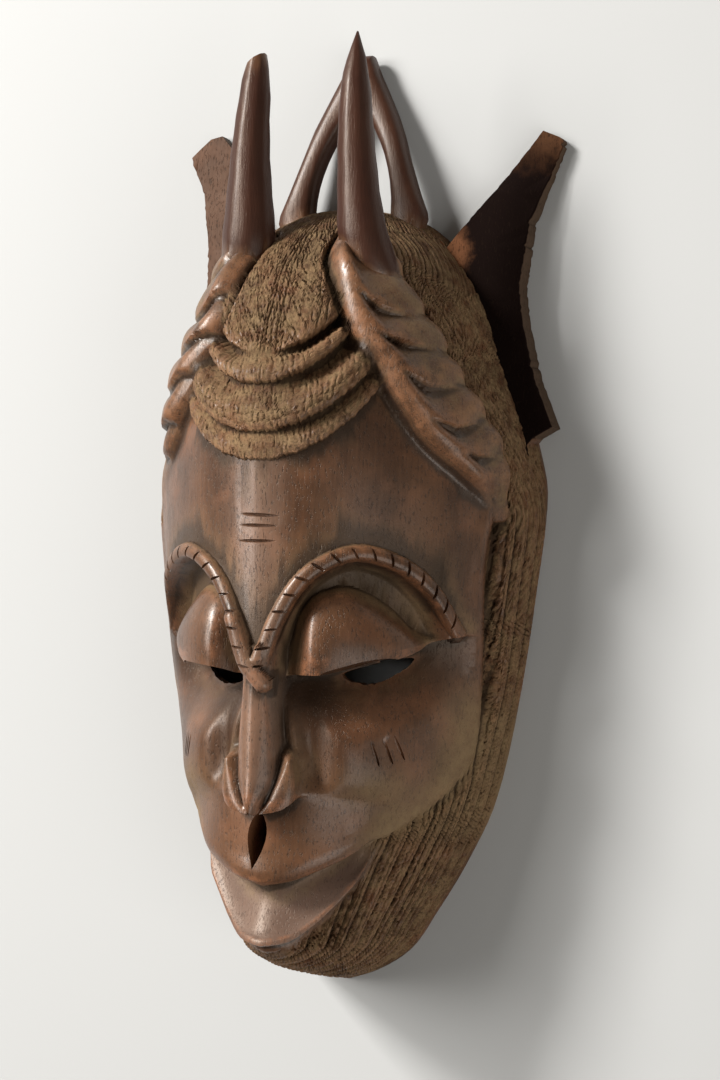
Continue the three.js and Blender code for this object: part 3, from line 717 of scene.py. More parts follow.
class Tree:
    """Builds nodes in one tree and links them by value."""

    def __init__(self, tree):
        self.tree = tree

    def node(self, kind, inputs=None, output=0, **settings):
        """A new node; its inputs and its output are called by name or by number."""
        made = self.tree.nodes.new(kind)

        def find(sockets, key):
            return sockets[key] if isinstance(key, int) else next(
                s for s in sockets if s.name == key and s.enabled)

        for name, value in settings.items():
            setattr(made, name, value)
        for key, value in (inputs or {}).items():
            socket = find(made.inputs, key)
            if isinstance(value, Value):
                self.tree.links.new(value.socket, socket)
            else:
                socket.default_value = value
        return Value(self, find(made.outputs, output))

    def math(self, operation, *values):
        return self.node("ShaderNodeMath", dict(enumerate(values)), operation=operation)

    def floor(self, a):
        return self.math("FLOOR", a)

    def most(self, a, b):
        return self.math("MAXIMUM", a, b)

    def ramp(self, a, low, high):
        """0 below low, 1 above high, smooth between."""
        return self.node("ShaderNodeMapRange", {"Value": a, "From Min": low, "From Max": high},
                         interpolation_type="SMOOTHSTEP")

    def fall(self, a, low, high):
        """1 below low, 0 above high."""
        return 1.0 - self.ramp(a, low, high)

    def vector(self, operation, a, b, output=0):
        return self.node("ShaderNodeVectorMath", {0: a, 1: b}, output, operation=operation)

    def scaled(self, a, factor):
        return self.node("ShaderNodeVectorMath", {"Vector": a, "Scale": factor}, operation="SCALE")

    def combined(self, x, y, z):
        return self.node("ShaderNodeCombineXYZ", {"X": x, "Y": y, "Z": z})

    def split(self, vector):
        return [self.node("ShaderNodeSeparateXYZ", {0: vector}, axis) for axis in range(3)]

    def noise(self, vector, scale, detail=2.0, roughness=0.5):
        return self.node("ShaderNodeTexNoise", {"Vector": vector, "Scale": scale,
                                                "Detail": detail, "Roughness": roughness}, "Fac")

    def mark(self, name, output="Fac"):
        """A mark stored on the surface: a number, or with output "Vector" a vector."""
        if self.tree.type == "SHADER":
            return self.node("ShaderNodeAttribute", None, output, attribute_name=name)
        kind = "FLOAT" if output == "Fac" else "FLOAT_VECTOR"
        return self.node("GeometryNodeInputNamedAttribute", {"Name": name}, "Attribute",
                         data_type=kind)

    def chance(self, vector):
        """An unpatterned number from 0 to 1 for each whole-number vector."""
        return self.node("ShaderNodeTexWhiteNoise", {"Vector": vector}, "Value",
                         noise_dimensions="3D")

    def mix(self, factor, a, b):
        return self.node("ShaderNodeMix", {"Factor": factor, "A": a, "B": b}, "Result",
                         data_type="RGBA")


def geometry_tree(name, inputs):
    """An empty geometry tree with named inputs, and those inputs as values."""
    tree = bpy.data.node_groups.new(name, "GeometryNodeTree")
    tree.interface.new_socket("Geometry", in_out="INPUT", socket_type="NodeSocketGeometry")
    tree.interface.new_socket("Geometry", in_out="OUTPUT", socket_type="NodeSocketGeometry")
    for label, kind in inputs.items():
        tree.interface.new_socket(label, in_out="INPUT", socket_type="NodeSocket" + kind)
    source = tree.nodes.new("NodeGroupInput")
    build = Tree(tree)
    return build, {socket.name: Value(build, socket) for socket in source.outputs if socket.name}


def finish_tree(build, geometry, material):
    """Every tree ends with real geometry that has the wood on it."""
    real = build.node("GeometryNodeRealizeInstances", {"Geometry": geometry})
    wooden = build.node("GeometryNodeSetMaterial", {"Geometry": real, "Material": material})
    end = build.tree.nodes.new("NodeGroupOutput")
    build.tree.links.new(wooden.socket, end.inputs[0])


def add_tree(target, build, values):
    """Puts a geometry tree on an object, with its inputs set."""
    modifier = target.modifiers.new(build.tree.name, "NODES")
    modifier.node_group = build.tree
    for item in build.tree.interface.items_tree:
        if item.in_out == "INPUT" and item.name in values:
            modifier[item.identifier] = values[item.name]


def settle(target):
    """Turns an object with modifiers into a plain mesh."""
    graph = bpy.context.evaluated_depsgraph_get()
    mesh = bpy.data.meshes.new_from_object(target.evaluated_get(graph))
    target.modifiers.clear()
    target.data = mesh
    return target


wood = bpy.data.materials.new("carved_wood")
print("node builders ready")

# %% [markdown]
# ## Rows of gouge cuts
#
# The hair is textured with a narrow gouge: row beside row of short slanting cuts. On the real
# object the rows run up the cap, round the rolls, down the side locks and along the strands of the
# jaw, so the same habit of the hand appears at different sizes. One geometry tree does the same:
# it reads a mark with the distance along the row, the distance across the rows and how strongly
# the hair is worked there, and pushes the surface in. Each row and each cut gets its own depth.

# %% A tree for rows of gouge cuts
build, given = geometry_tree("gouge_rows", {
    "Marks": "String", "Row Width": "Float", "Row Groove": "Float", "Cut Spacing": "Float",
    "Cut Depth": "Float", "Cut Slant": "Float", "Wander": "Float", "Seed": "Float",
    "Material": "Material"})
along, across_rows, worked = build.split(build.mark(given["Marks"], "Vector"))
place = build.node("GeometryNodeInputPosition")
drift = build.noise(build.scaled(place, 1000.0), 0.06, 2.0) - 0.5
fine_drift = build.noise(build.scaled(place, 1000.0), 0.4, 1.0) - 0.5
row_place = across_rows / given["Row Width"] + drift * given["Wander"] + fine_drift * 0.45
row = build.floor(row_place)
row_share = row_place - row
row_chance = build.chance(build.combined(row, given["Seed"], 0.5))
row_side = abs(row_share * 2.0 - 1.0)
groove = row_side ** 3.0 * given["Row Groove"] * (0.15 + 1.5 * row_chance ** 2.0)
cut_place = (along / given["Cut Spacing"] + given["Cut Slant"] * row_share + row_chance * 7.3
             + drift * 3.0)
cut = build.floor(cut_place)
cut_chance = build.chance(build.combined(row, cut, given["Seed"]))
notch = build.most(0.0, 1.0 - abs((cut_place - cut) * 2.0 - 1.0) * (1.1 + 1.2 * cut_chance))
cut_depth = notch * (1.0 - 0.6 * row_side ** 4.0) * (0.3 + 0.9 * cut_chance)
push = (groove + cut_depth * given["Cut Depth"]) * worked * (-METRES)
normal_here = build.node("GeometryNodeInputNormal")
moved = build.node("GeometryNodeSetPosition",
                   {"Geometry": given["Geometry"], "Offset": build.scaled(normal_here, push)})
pit = build.most(build.mark("pit"), (cut_depth + groove * 0.5) * worked)
marked = build.node("GeometryNodeStoreNamedAttribute",
                    {"Geometry": moved, "Name": "pit", "Value": pit},
                    data_type="FLOAT", domain="POINT")
finish_tree(build, marked, given["Material"])
gouge_rows = build

# %% [markdown]
# The marks for that tree come from the same grid as the relief. The cap's rows run up to the
# crown and so close in on each other; on the rolls they follow the arch of each edge; beside the
# lock they run with it; on the jaw they follow the strands round to the chin.

# %% Work the hair
HEAD_HALF_ARC = 110
RIM_FADE = (1.0, 4.0)
SIDE_HAIR_REACH = 90

arc_place = np.broadcast_to(across * HEAD_HALF_ARC, level.shape)
beyond_lock = (lock_q > 1.0) & (lock_off < SIDE_HAIR_REACH)
roll = on_cap & (cap_place < 3)
crown_hair = ((cap_place >= 3) | (level > 318)) & ~on_lock & ~beyond_lock
side_hair = beyond_lock & (level > 222)
lower_hair = ~on_lock & ~side_hair & ~crown_hair & ~on_cap
off_rim = smooth(base[..., 2], *RIM_FADE)


def in_field(region, along_row, across_row, strength, **sizes):
    """Where a field of hair is, its marks, and its sizes as the tree calls them."""
    marks = np.stack([along_row, across_row, strength * off_rim], -1)
    return region, marks, {key.replace("_", " ").title(): size for key, size in sizes.items()}


roll_up = np.where(roll, level - layer_edge(0, np.clip(side, 0, 45)), 0)
lock_band = on_lock & (np.abs(lock_q + 0.55) < 0.25)
fields = {
    "crown_rows": in_field(
        crown_hair, level, arc_place, soften(crown_hair), row_width=3.0, row_groove=1.1,
        cut_spacing=3.2, cut_depth=0.85, cut_slant=1.5, wander=1.6),
    "roll_rows": in_field(
        roll, base[..., 0], roll_up, soften(roll), row_width=4.2, row_groove=0.5,
        cut_spacing=2.1, cut_depth=0.75, cut_slant=0.5, wander=1.2),
    "side_rows": in_field(
        side_hair, lock_along, lock_off, soften(side_hair), row_width=3.2, row_groove=1.2,
        cut_spacing=3.4, cut_depth=1.0, cut_slant=1.3, wander=1.0),
    "strand_rows": in_field(
        lower_hair, -(level + side), base[..., 2], soften(lower_hair) * strand_zone,
        row_width=STRAND_WIDTH / 3, row_groove=1.7, cut_spacing=2.4, cut_depth=0.95,
        cut_slant=0.7, wander=0.35),
    "tick_rows": in_field(
        on_lock, lock_along, lock_off, soften(lock_band) * 0.7, row_width=3.4, row_groove=0.1,
        cut_spacing=2.0, cut_depth=0.26, cut_slant=0.7, wander=0.8),
}
comb = np.zeros_like(base)
for seed, (name, (region, marks, sizes)) in enumerate(fields.items()):
    comb = np.where(region[..., None], marks * [1, 1, 0], comb)
    add_marks(head, name, with_poles(marks))
    add_tree(head, gouge_rows, {"Marks": name, **sizes, "Seed": float(seed), "Material": wood})

# Where dust has gathered on the face, and the shade under the lids
on_face = ~on_lock & ~on_cap & (level < 300)
outer_cheek = smooth(beyond, -34, -6) * within(level, 62, 84, 128, 158)
low_cheek = bell(side, 47, 12) * bell(level, 101, 9)
beside_nose = bell(side, fold_line(level), 5) * within(level, 96, 112, 150, 158)
over_brow = bell(brow_off, 6.5, 3.5) * (level > brow_line(np.clip(side, 3, 75))) * 0.6
dust = np.maximum.reduce([0.65 * dust_in_crescent, 0.95 * outer_cheek, 0.7 * low_cheek,
                          0.6 * beside_nose, over_brow]) * on_face
shade_reach = 26 + 28 * fall(side, 20, 46)
under_lid = smooth((level - lid_cut(side)) / shade_reach, -1, -0.05)
under_lid = under_lid * smooth(side, 6, 13) * under_eye
hair = sum(marks[..., 2] for name, (_, marks, _) in fields.items() if name != "tick_rows")
for name, values in {
        "comb": comb, "hair": np.clip(hair, 0, 1), "pit": 0 * side, "dust": dust,
        "lock": np.where(on_lock, 0.3 + 0.7 * smooth(lock_q, -0.5, 0.2), 0),
        "lip": soften(low_lip) * fall(side, 36, 44),
        "shade": under_lid * fall(side, 72, 84) * on_face}.items():
    add_marks(head, name, with_poles(values))
settle(head)
for name in fields:
    head.data.attributes.remove(head.data.attributes[name])
print("hair worked in", len(fields), "fields")

# %% [markdown]
# Hands and cloth polish what stands out, and dust stays where they never reach. The most sunken
# places are also painted darker, as painted shade. How much a place stands out is measured here,
# while the points still lie in rows and columns: each is compared with the average of its
# neighbourhood, once over a few millimetres and once over a wide patch.

# %% Measure what stands out
SMALL_PATCH = max(1, int(3 * FINENESS))
WIDE_PATCH = int(22 * FINENESS)


def patch_mean(values, reach):
    """The average over a square patch, taken twice for a soft edge."""
    for _ in range(2):
        for axis in (0, 1):
            pad = [(reach + 1, reach) if k == axis else (0, 0) for k in range(values.ndim)]
            run = np.cumsum(np.pad(values, pad, mode="edge"), axis=axis)
            width = 2 * reach + 1
            ahead = np.take(run, np.arange(width, run.shape[axis]), axis=axis)
            behind = np.take(run, np.arange(0, run.shape[axis] - width), axis=axis)
            values = (ahead - behind) / width
    return values


worked_points = np.empty(len(head.data.vertices) * 3, np.float32)
head.data.vertices.foreach_get("co", worked_points)
worked_grid = worked_points.reshape(-1, 3)[:-2].reshape(base.shape).astype(float) / METRES
for name, patch, most in (("edge_small", SMALL_PATCH, 2), ("edge_wide", WIDE_PATCH, 8)):
    stands_out = ((worked_grid - patch_mean(worked_grid, patch)) * normal).sum(-1)
    add_marks(head, name, with_poles(np.clip(stands_out * off_rim, -most, most)))
    print(name, "from", round(stands_out.min(), 2), "to", round(stands_out.max(), 2), "mm")

# %% [markdown]
# ## Horns, plates and the hanging loop
#
# These stand free of the face but are the same block of wood, so each is made as a closed body and
# then joined. The two horns are round and taper to a worn point. The two plates behind them are
# flat slabs that flare outwards; their upper ends are broken. The loop is one bar bent into a
# pointed arch, flat in front and inside, with its edges eased.

# %% Front horns
# Each horn: the line up its middle, and its radius at shares of that line
HORNS = {
    "left_horn": ([(38, 318, 60), (36.8, 334, 70), (33.5, 350, 76), (31, 365, 77.5),
                   (28, 395, 77), (26.5, 425, 76), (26, 450, 74)],
                  [(0, 12.5), (0.14, 13), (0.27, 12), (0.45, 9.8), (0.68, 8.1), (0.8, 7),
                   (0.9, 4.6), (1, 0.5)]),
    "right_horn": ([(-30, 318, 60), (-28, 334, 70), (-26.2, 350, 76), (-25.8, 366, 77.5),
                    (-26.3, 398, 77), (-25, 429, 76), (-24.5, 455, 74)],
                   [(0, 13), (0.14, 13.6), (0.27, 12.8), (0.38, 11.5), (0.5, 10), (0.68, 8.2),
                    (0.8, 7), (0.9, 4.6), (1, 0.5)])}
HORN_SIDES = 36
HORN_RINGS = 90
HORN_FACETS = 9
HORN_FACET_DEPTH = 0.012
HORN_DENT = 0.12


def horn(name, path, radii):
    centres = evenly(spline(path, 24), HORN_RINGS)[0]
    share = np.linspace(0, 1, HORN_RINGS)
    radius = through(radii)(share)[:, None]
    turn = -2 * math.pi * np.arange(HORN_SIDES) / HORN_SIDES
    facet = 1 + HORN_FACET_DEPTH * np.cos(HORN_FACETS * turn[None] + 5 * share[:, None])
    dent = HORN_DENT * np.sin(0.35 * centres[:, 1:2] + 3 * np.sin(turn)[None]) * (radius > 3)
    r = radius * facet + dent
    rings = np.stack([centres[:, :1] + r * np.cos(turn), centres[:, 1:2] + 0 * r,
                      centres[:, 2:] + r * np.sin(turn)], -1)
    return lofted(name, rings, path[0], centres[-1] + [0, 0.3, 0], horn=1)


horns = [horn(name, *lines) for name, lines in HORNS.items()]

# %% Plates behind the horns
# The outer and the inner edge of each, seen from the front
LEFT_PLATE = ([(88, 257.5), (95.4, 266), (104, 270.5), (99.5, 281.5), (95, 292), (88, 320),
               (85.7, 338), (89.6, 367), (95.3, 383), (104.4, 405), (104, 409), (94, 413.3)],
              [(66, 257.5), (66, 262), (62, 300), (40, 348), (52, 363), (71, 385), (83, 400),
               (94, 413.3)])
RIGHT_PLATE = ([(88, 257.5), (96, 266), (100, 274), (95, 292), (86, 320), (81, 345), (82, 366),
                (87.5, 392), (94.5, 407), (95.5, 411.5), (84, 420.8), (78.5, 421.3)],
               [(66, 257.5), (66, 262), (62, 300), (40, 348), (47, 361), (57, 376), (66, 395),
                (70.5, 412.5), (78.5, 421.3)])
PLATE_THICKNESS = [(255, 14.5), (345, 13.5), (375, 11), (393, 7), (425, 5.5)]
PLATE_ROWS = 130
PLATE_COLUMNS = 8
PLATE_EDGE_ROUND = 0.5
PLATE_ROUGHNESS = 0.16
CHIP_DEPTH = 1.1


def plate_thickness(y):
    return np.interp(y, *zip(*PLATE_THICKNESS))


def plate(name, edges, side_sign, seed):
    """A slab between two edges, with a rough and chipped outline."""
    luck = np.random.default_rng(seed)
    (outer_x, outer_y), (inner_x, inner_y) = (np.array(edge, float).T for edge in edges)
    y = np.linspace(outer_y[0], outer_y[-1], PLATE_ROWS)
    rough = [luck.normal(0, PLATE_ROUGHNESS, len(y)) for _ in range(2)]
    chips = CHIP_DEPTH * (luck.random(len(y)) > 0.95)
    free = within(y, 275, 290, outer_y[-1] - 4, outer_y[-1])
    high = np.interp(y, outer_y, outer_x) + (rough[0] - chips) * free
    low = np.interp(y, inner_y, inner_x) + rough[1] * free
    thick = plate_thickness(y)
    eased, flat_back = PLATE_EDGE_ROUND, 0 * y
    shares = [*np.linspace(0.02, 0.98, PLATE_COLUMNS), 1, 1, 0.98, 0.02, 0, 0]
    levels = [thick] * PLATE_COLUMNS + [thick - eased, flat_back + eased, flat_back, flat_back,
                                        flat_back + eased, thick - eased]
    rings = np.stack([np.column_stack([side_sign * (low + (high - low) * share), y, z])
                      for share, z in zip(shares, levels)], axis=1)
    if side_sign < 0:
        rings = rings[:, ::-1]
    return lofted(name, rings, rings[0].mean(0), rings[-1].mean(0), plate=1,
                  plate_side=lambda p: 1 - p[:, 2] / plate_thickness(p[:, 1]))


plates = [plate("left_plate", LEFT_PLATE, 1, 3), plate("right_plate", RIGHT_PLATE, -1, 8)]

# %% Hanging loop
LOOP_HALF_WIDTHS = [(352, 33), (372, 39), (385, 34.5), (400, 29), (418, 22.8), (436, 14.5),
                    (448, 8.5), (455.5, 5.5)]
LOOP_SPRING = 372
LOOP_TOP = 455.5
LOOP_OPENING_FOOT = 379
LOOP_OPENING_TOP = 427
LOOP_OPENING_HALF_WIDTH = 21
NAIL_SEAT_HALF_WIDTH = 3
LOOP_THICKNESS = 14
LOOP_LEG_FORWARD = 9
LOOP_STEPS = 48
LOOP_SIDES = 28
LOOP_SQUARENESS = 3

up = np.sin(np.linspace(0, math.pi / 2, LOOP_STEPS))
reach = math.sqrt(1 - NAIL_SEAT_HALF_WIDTH / LOOP_OPENING_HALF_WIDTH)
outer_height = LOOP_SPRING + (LOOP_TOP - LOOP_SPRING) * up
outer = np.column_stack([through(LOOP_HALF_WIDTHS)(outer_height), outer_height])
inner = np.column_stack([LOOP_OPENING_HALF_WIDTH * (1 - (reach * up) ** 2),
                         LOOP_OPENING_FOOT + (LOOP_OPENING_TOP - LOOP_OPENING_FOOT) * up])
foot, foot_half = LOOP_HALF_WIDTHS[0]
outer, inner = (np.concatenate([[[half, foot]], line, line[::-1] * [-1, 1], [[-half, foot]]])
                for line, half in ((outer, foot_half), (inner, LOOP_OPENING_HALF_WIDTH)))
turn = 2 * math.pi * (np.arange(LOOP_SIDES) + 0.5) / LOOP_SIDES
squarish = (np.abs(np.cos(turn)) ** LOOP_SQUARENESS
            + np.abs(np.sin(turn)) ** LOOP_SQUARENESS) ** (-1 / LOOP_SQUARENESS)
wide, deep = (squarish * np.cos(turn))[None, :, None], squarish * np.sin(turn)
flat = (outer + inner)[:, None] / 2 + (outer - inner)[:, None] / 2 * wide
forward = LOOP_LEG_FORWARD * fall(flat[..., 1], LOOP_SPRING, LOOP_TOP)
loop_rings = np.concatenate([flat, (LOOP_THICKNESS / 2 * (1 + deep) + forward)[..., None]], -1)
loop = lofted("hanging_loop", loop_rings, loop_rings[0].mean(0), loop_rings[-1].mean(0), horn=0.9)
print("horns, plates and loop ready")

# %% [markdown]
# ## What is cut away
#
# The back is hollowed with a wide gouge until the wall is a finger thick. The slits under the lids
# and the upright hole in the upper lip go right through. One horn has lost its tip. Each cut is
# made as a closed body of its own, and taken away in one go at the end.

# %% Hollow, slits, mouth hole and the lost tip
HOLLOW_SCALE = np.array([0.875, 0.925, 0.8])
HOLLOW_ROWS = int(150 * FINENESS)
HOLLOW_COLUMNS = int(120 * FINENESS)
HOLLOW_HALF_ARC = 100
CUT_CLEARANCE = 4
SCOOP_WIDTH = 13
SCOOP_LENGTH = 30
SCOOP_DEPTH = 0.8
SLIT_DROP = 6
SLIT_LIFT = 3
SLITS = [(29, 56), (-46, -13)]
SLIT_RAGGEDNESS = 0.45
SLIT_FROM_TO = (40, 130)
MOUTH_HOLE = {"bottom": 64.5, "top": 91.5, "half": 4.8, "lean": 0.12, "from_to": (70, 130)}
BROKEN_TIP = {"place": (-26.5, 439.5, 76), "tilt": 0.56, "size": 30}


def prism(name, outline, low, high):
    """A straight body over a closed outline."""
    count = len(outline)
    k = np.arange(count)
    k_next = (k + 1) % count
    points = np.concatenate([np.column_stack([outline, np.full(count, z)]) for z in (low, high)])
    cap = np.array(tessellate_polygon([[Vector((x, y, 0)) for x, y in outline]]))
    a, b, c = (outline[corner] for corner in cap.T)
    cap = np.where((np.cross(b - a, c - a) > 0)[:, None], cap, cap[:, ::-1])
    faces = np.concatenate([
        np.stack([k, k_next, count + k_next], -1), np.stack([k, count + k_next, count + k], -1),
        cap + count, cap[:, ::-1]])
    return mesh_object(name, points, faces)


def hollow():
    rows = (1 - np.cos(np.pi * np.arange(1, HOLLOW_ROWS) / HOLLOW_ROWS)) / 2 * HEAD_LENGTH
    columns = np.linspace(-1, 1, HOLLOW_COLUMNS)
    y, a = np.meshgrid(rows, columns, indexing="ij")
    inner_form = form_point(a, y)
    arc = a * HOLLOW_HALF_ARC
    scoop = np.abs(np.sin(np.pi * (arc / SCOOP_WIDTH + 0.3 * np.sin(y / 17))))
    swell = np.sin(2 * np.pi * y / SCOOP_LENGTH + 2.1 * np.floor(arc / SCOOP_WIDTH))
    scoop = scoop * (0.75 + 0.25 * swell)
    inner_form = inner_form - form_normal(inner_form) * (SCOOP_DEPTH * (1 - scoop))[..., None]
    inner_form = inner_form * HOLLOW_SCALE
    inner_form[..., 1] += HEAD_LENGTH / 2 * (1 - HOLLOW_SCALE[1])
    under = inner_form[:, [0, -1]].copy()
    under[..., 2] = -CUT_CLEARANCE
    rings = np.concatenate([under[:, :1], inner_form, under[:, 1:]], axis=1)
    ends = [[0, e * HOLLOW_SCALE[1] + HEAD_LENGTH / 2 * (1 - HOLLOW_SCALE[1]), -CUT_CLEARANCE / 2]
            for e in (0, HEAD_LENGTH)]
    return lofted("hollow", rings, *ends, inside=1)


def slit(start, end, seed):
    luck = np.random.default_rng(seed)
    t = np.linspace(0, 1, 26)
    x = start + (end - start) * t
    belly = np.sin(np.pi * t) ** 0.6
    rag = luck.normal(0, SLIT_RAGGEDNESS, len(t)) * belly
    upper = np.column_stack([x, lid_cut(np.abs(x)) + SLIT_LIFT * belly])
    lower = np.column_stack([x, lid_cut(np.abs(x)) - SLIT_DROP * belly + rag])
    return prism("slit", np.concatenate([lower, upper[1:-1][::-1]]), *SLIT_FROM_TO)


def mouth_hole():
    t = np.linspace(0, 1, 20)
    y = MOUTH_HOLE["bottom"] + (MOUTH_HOLE["top"] - MOUTH_HOLE["bottom"]) * t
    wide = MOUTH_HOLE["half"] * np.sin(np.pi * t ** 1.3) ** 0.75
    middle = (y - MOUTH_HOLE["top"]) * MOUTH_HOLE["lean"]
    right, left = (np.column_stack([middle + sign * wide, y]) for sign in (1, -1))
    return prism("mouth_hole", np.concatenate([right, left[1:-1][::-1]]), *MOUTH_HOLE["from_to"])


def lost_tip():
    half = BROKEN_TIP["size"] / 2
    c, s = math.cos(BROKEN_TIP["tilt"]), math.sin(BROKEN_TIP["tilt"])
    corners = np.array([[-half, 0], [half, 0], [half, 2 * half], [-half, 2 * half]])
    turned = corners @ np.array([[c, s], [-s, c]])
    x, y, z = BROKEN_TIP["place"]
    return prism("lost_tip", turned + [x, y], z - half, z + half)


cuts = [hollow(), *(slit(a, b, i) for i, (a, b) in enumerate(SLITS)), mouth_hole(), lost_tip()]
print("cuts:", [c.name for c in cuts])

# %% [markdown]
# ### A row of cutters along a line
#
# The notches that twist the brows, the cuts on the forehead and those on the cheeks are single
# strokes set along a line. A second geometry tree walks a drawn line, sets one long oval cutter at
# each step, squared up to the surface and slanted across the line, and varies each a little.

# %% A tree for rows of cutters
build, given = geometry_tree("cutter_row", {
    "Count": "Int", "Length": "Float", "Width": "Float", "Depth": "Float", "Slant": "Float",
    "Variation": "Float", "Seed": "Int", "Material": "Material"})
facing = build.mark("facing", "Vector")
curve = build.node("GeometryNodeMeshToCurve", {"Mesh": given["Geometry"]})
stations = build.node("GeometryNodeResampleCurve", {"Curve": curve, "Count": given["Count"]},
                      mode="COUNT")
heading = build.node("GeometryNodeInputTangent")
squared = build.node("FunctionNodeAxesToRotation",
                     {"Primary Axis": facing, "Secondary Axis": heading},
                     primary_axis="Z", secondary_axis="X")
slant_turn = build.node("FunctionNodeEulerToRotation",
                        {"Euler": build.combined(0.0, 0.0, given["Slant"])})
slanted = build.node("FunctionNodeRotateRotation",
                     {"Rotation": squared, "Rotate By": slant_turn}, rotation_space="LOCAL")
cutter = build.node("GeometryNodeMeshIcoSphere", {"Radius": 0.5, "Subdivisions": 3})
luck = build.node("FunctionNodeRandomValue", {"Min": 0.0, "Max": 1.0, "Seed": given["Seed"]},
                  "Value", data_type="FLOAT")
vary = 1.0 - given["Variation"] * luck
size = build.combined(given["Width"] * vary, given["Length"] * vary, given["Depth"] * vary)
placed = build.node("GeometryNodeInstanceOnPoints",
                    {"Points": stations, "Instance": cutter, "Rotation": slanted, "Scale": size})
finish_tree(build, placed, given["Material"])
cutter_row = build


FAR = 1e6
RIM_DEPTH = 20
STROKE_STATIONS = 40


def height_at(x, y):
    """The carved surface nearest to a place on the front, and the direction out of it."""
    at_rim = base[..., 2] < RIM_DEPTH
    near = np.argmin((base[..., 0] - x) ** 2 + (base[..., 1] - y) ** 2 + FAR * at_rim)
    return carved.reshape(-1, 3)[near], normal.reshape(-1, 3)[near]


def stroke_row(name, path, lift, **sizes):
    """Cutters along a line given by places on the front; lift raises them off the surface."""
    found = [height_at(x, y) for x, y in evenly(spline(path, 24), STROKE_STATIONS)[0]]
    points = np.array([p + n * lift for p, n in found])
    made = mesh_object(name, points, edges=[(i, i + 1) for i in range(len(points) - 1)])
    add_marks(made, "facing", np.array([n for _, n in found]))
    named = {key.capitalize(): value for key, value in sizes.items()}
    for key in ("Length", "Width", "Depth"):
        named[key] *= METRES
    add_tree(made, cutter_row, {**named, "Material": wood})
    return settle(made)


# %% Set the single strokes
BROW_NOTCH = dict(count=16, length=9.0, width=1.6, depth=4.4, variation=0.25)
SCAR = dict(count=3, length=25.0, width=1.8, depth=5.0, variation=0.2)
CHEEK_CUT = dict(count=3, length=16.5, width=1.8, depth=3.4, variation=0.12)
NOTCH_LIFT = -0.2
CUT_LIFT = 0.1

strokes = []
for i, sign in enumerate((1, -1)):
    path = [(sign * x, y) for x, y in BROW_PATH[:-1] + [(73, 179)]]
    strokes.append(stroke_row(f"brow_notches_{i}", path, NOTCH_LIFT, slant=sign * 0.5, seed=4 + i,
                              **BROW_NOTCH))
for seed, (name, path, slant, sizes) in enumerate((
        ("forehead_cuts", [(0, 212.2), (0.3, 224.4)], 0.03, SCAR),
        ("left_cheek_cuts", [(45.9, 119), (50, 119.5), (54.3, 121.3)], 0.25, CHEEK_CUT),
        ("right_cheek_cuts", [(-45.5, 118), (-50, 118)], -0.25, CHEEK_CUT)), 1):
    strokes.append(stroke_row(name, path, CUT_LIFT, slant=slant, seed=seed, **sizes))
print("strokes:", sum(len(s.data.polygons) for s in strokes), "triangles")

# %% [markdown]
# ## One piece of wood
#
# Everything that stands free is joined to the head, and every cut is taken out. The result is one
# closed body. It is then thinned where it is smooth, so that the detail stays within a set number
# of triangles, and its crisp edges are marked.

# %% Join, cut and thin
TRIANGLE_LIMIT = int(190_000 * FINENESS ** 1.2)
SHARP_ANGLE = math.radians(38)


def combine(target, others, operation):
    """Joins the others to the target, or cuts them out of it, and puts them away."""
    for other in others:
        step = target.modifiers.new(operation.lower(), "BOOLEAN")
        step.operation, step.solver, step.object = operation, "MANIFOLD", other
    settle(target)
    for other in others:
        bpy.data.objects.remove(other)
    return target


def open_edges(body):
    """The number of edges that do not have exactly two faces."""
    count = np.zeros(len(body.data.edges), int)
    edge_of = np.empty(len(body.data.loops), int)
    body.data.loops.foreach_get("edge_index", edge_of)
    np.add.at(count, edge_of, 1)
    return int((count != 2).sum())


mask = combine(head, [*horns, *plates, loop], "UNION")
combine(mask, [*cuts, *strokes], "DIFFERENCE")
print("joined:", len(mask.data.polygons), "faces, open edges:", open_edges(mask))
triangles = sum(len(p.vertices) - 2 for p in mask.data.polygons)
thin = mask.modifiers.new("thin", "DECIMATE")
thin.ratio = min(1.0, TRIANGLE_LIMIT / triangles)
thin.use_collapse_triangulate = True
settle(mask)
mask.name = "carved_mask"
mask.data.shade_smooth()
mask.data.set_sharp_from_angle(angle=SHARP_ANGLE)
print("mask:", len(mask.data.polygons), "triangles, open edges:", open_edges(mask))

# %% [markdown]
# ## The finish of the wood
#
# A dark hardwood with the grain up and down: fine pores as short dark dashes, slow streaks of red
# and brown, a worn sheen on the smooth parts, grey-tan dust in the hair and the hollows, orange
# where edges are rubbed. Some tones are painted light and shade: a lighter band down the forehead
# and nose as painted sheen, a darker tone in sunken places and under the lids, and a near-black
# front on one plate as painted shade. It is one material; the marks on the surface say where each
# tone goes.

# %% The wood
DARK_WOOD = (0.04, 0.0165, 0.0078, 1)
WARM_WOOD = (0.1, 0.0435, 0.0195, 1)
RUBBED_WOOD = (0.25, 0.1, 0.045, 1)
HORN_WOOD = (0.03, 0.01, 0.0065, 1)
# near-black painted shade for the front of one plate
PLATE_SHADE_TONE = (0.006, 0.0026, 0.0018, 1)
PLATE_EDGE = (0.075, 0.052, 0.036, 1)
PLATE_FOOT = (45.0, 128.0, 0.0)
LIP_WOOD = (0.125, 0.08, 0.06, 1)
# painted sheen down the forehead and nose, where hands also rub
HANDLED_SHEEN_TONE = (0.235, 0.15, 0.108, 1)
DUST = (0.19, 0.126, 0.064, 1)
# dark tone for the real pores and for painted shade
PORE_AND_SHADE_TONE = (0.012, 0.0065, 0.004, 1)

wood.use_nodes = True
wood.node_tree.nodes.clear()
paint = Tree(wood.node_tree)
ramp, fade, most, noise, mark = paint.ramp, paint.fall, paint.most, paint.noise, paint.mark


def stretched(place, x, y, z):
    return paint.vector("MULTIPLY", place, (x, y, z))


def laid_over(colour, *layers):
    """Tones laid over a colour one after another, each where its share says."""
    for share, tone in layers:
        colour = paint.mix(share, colour, tone)
    return colour


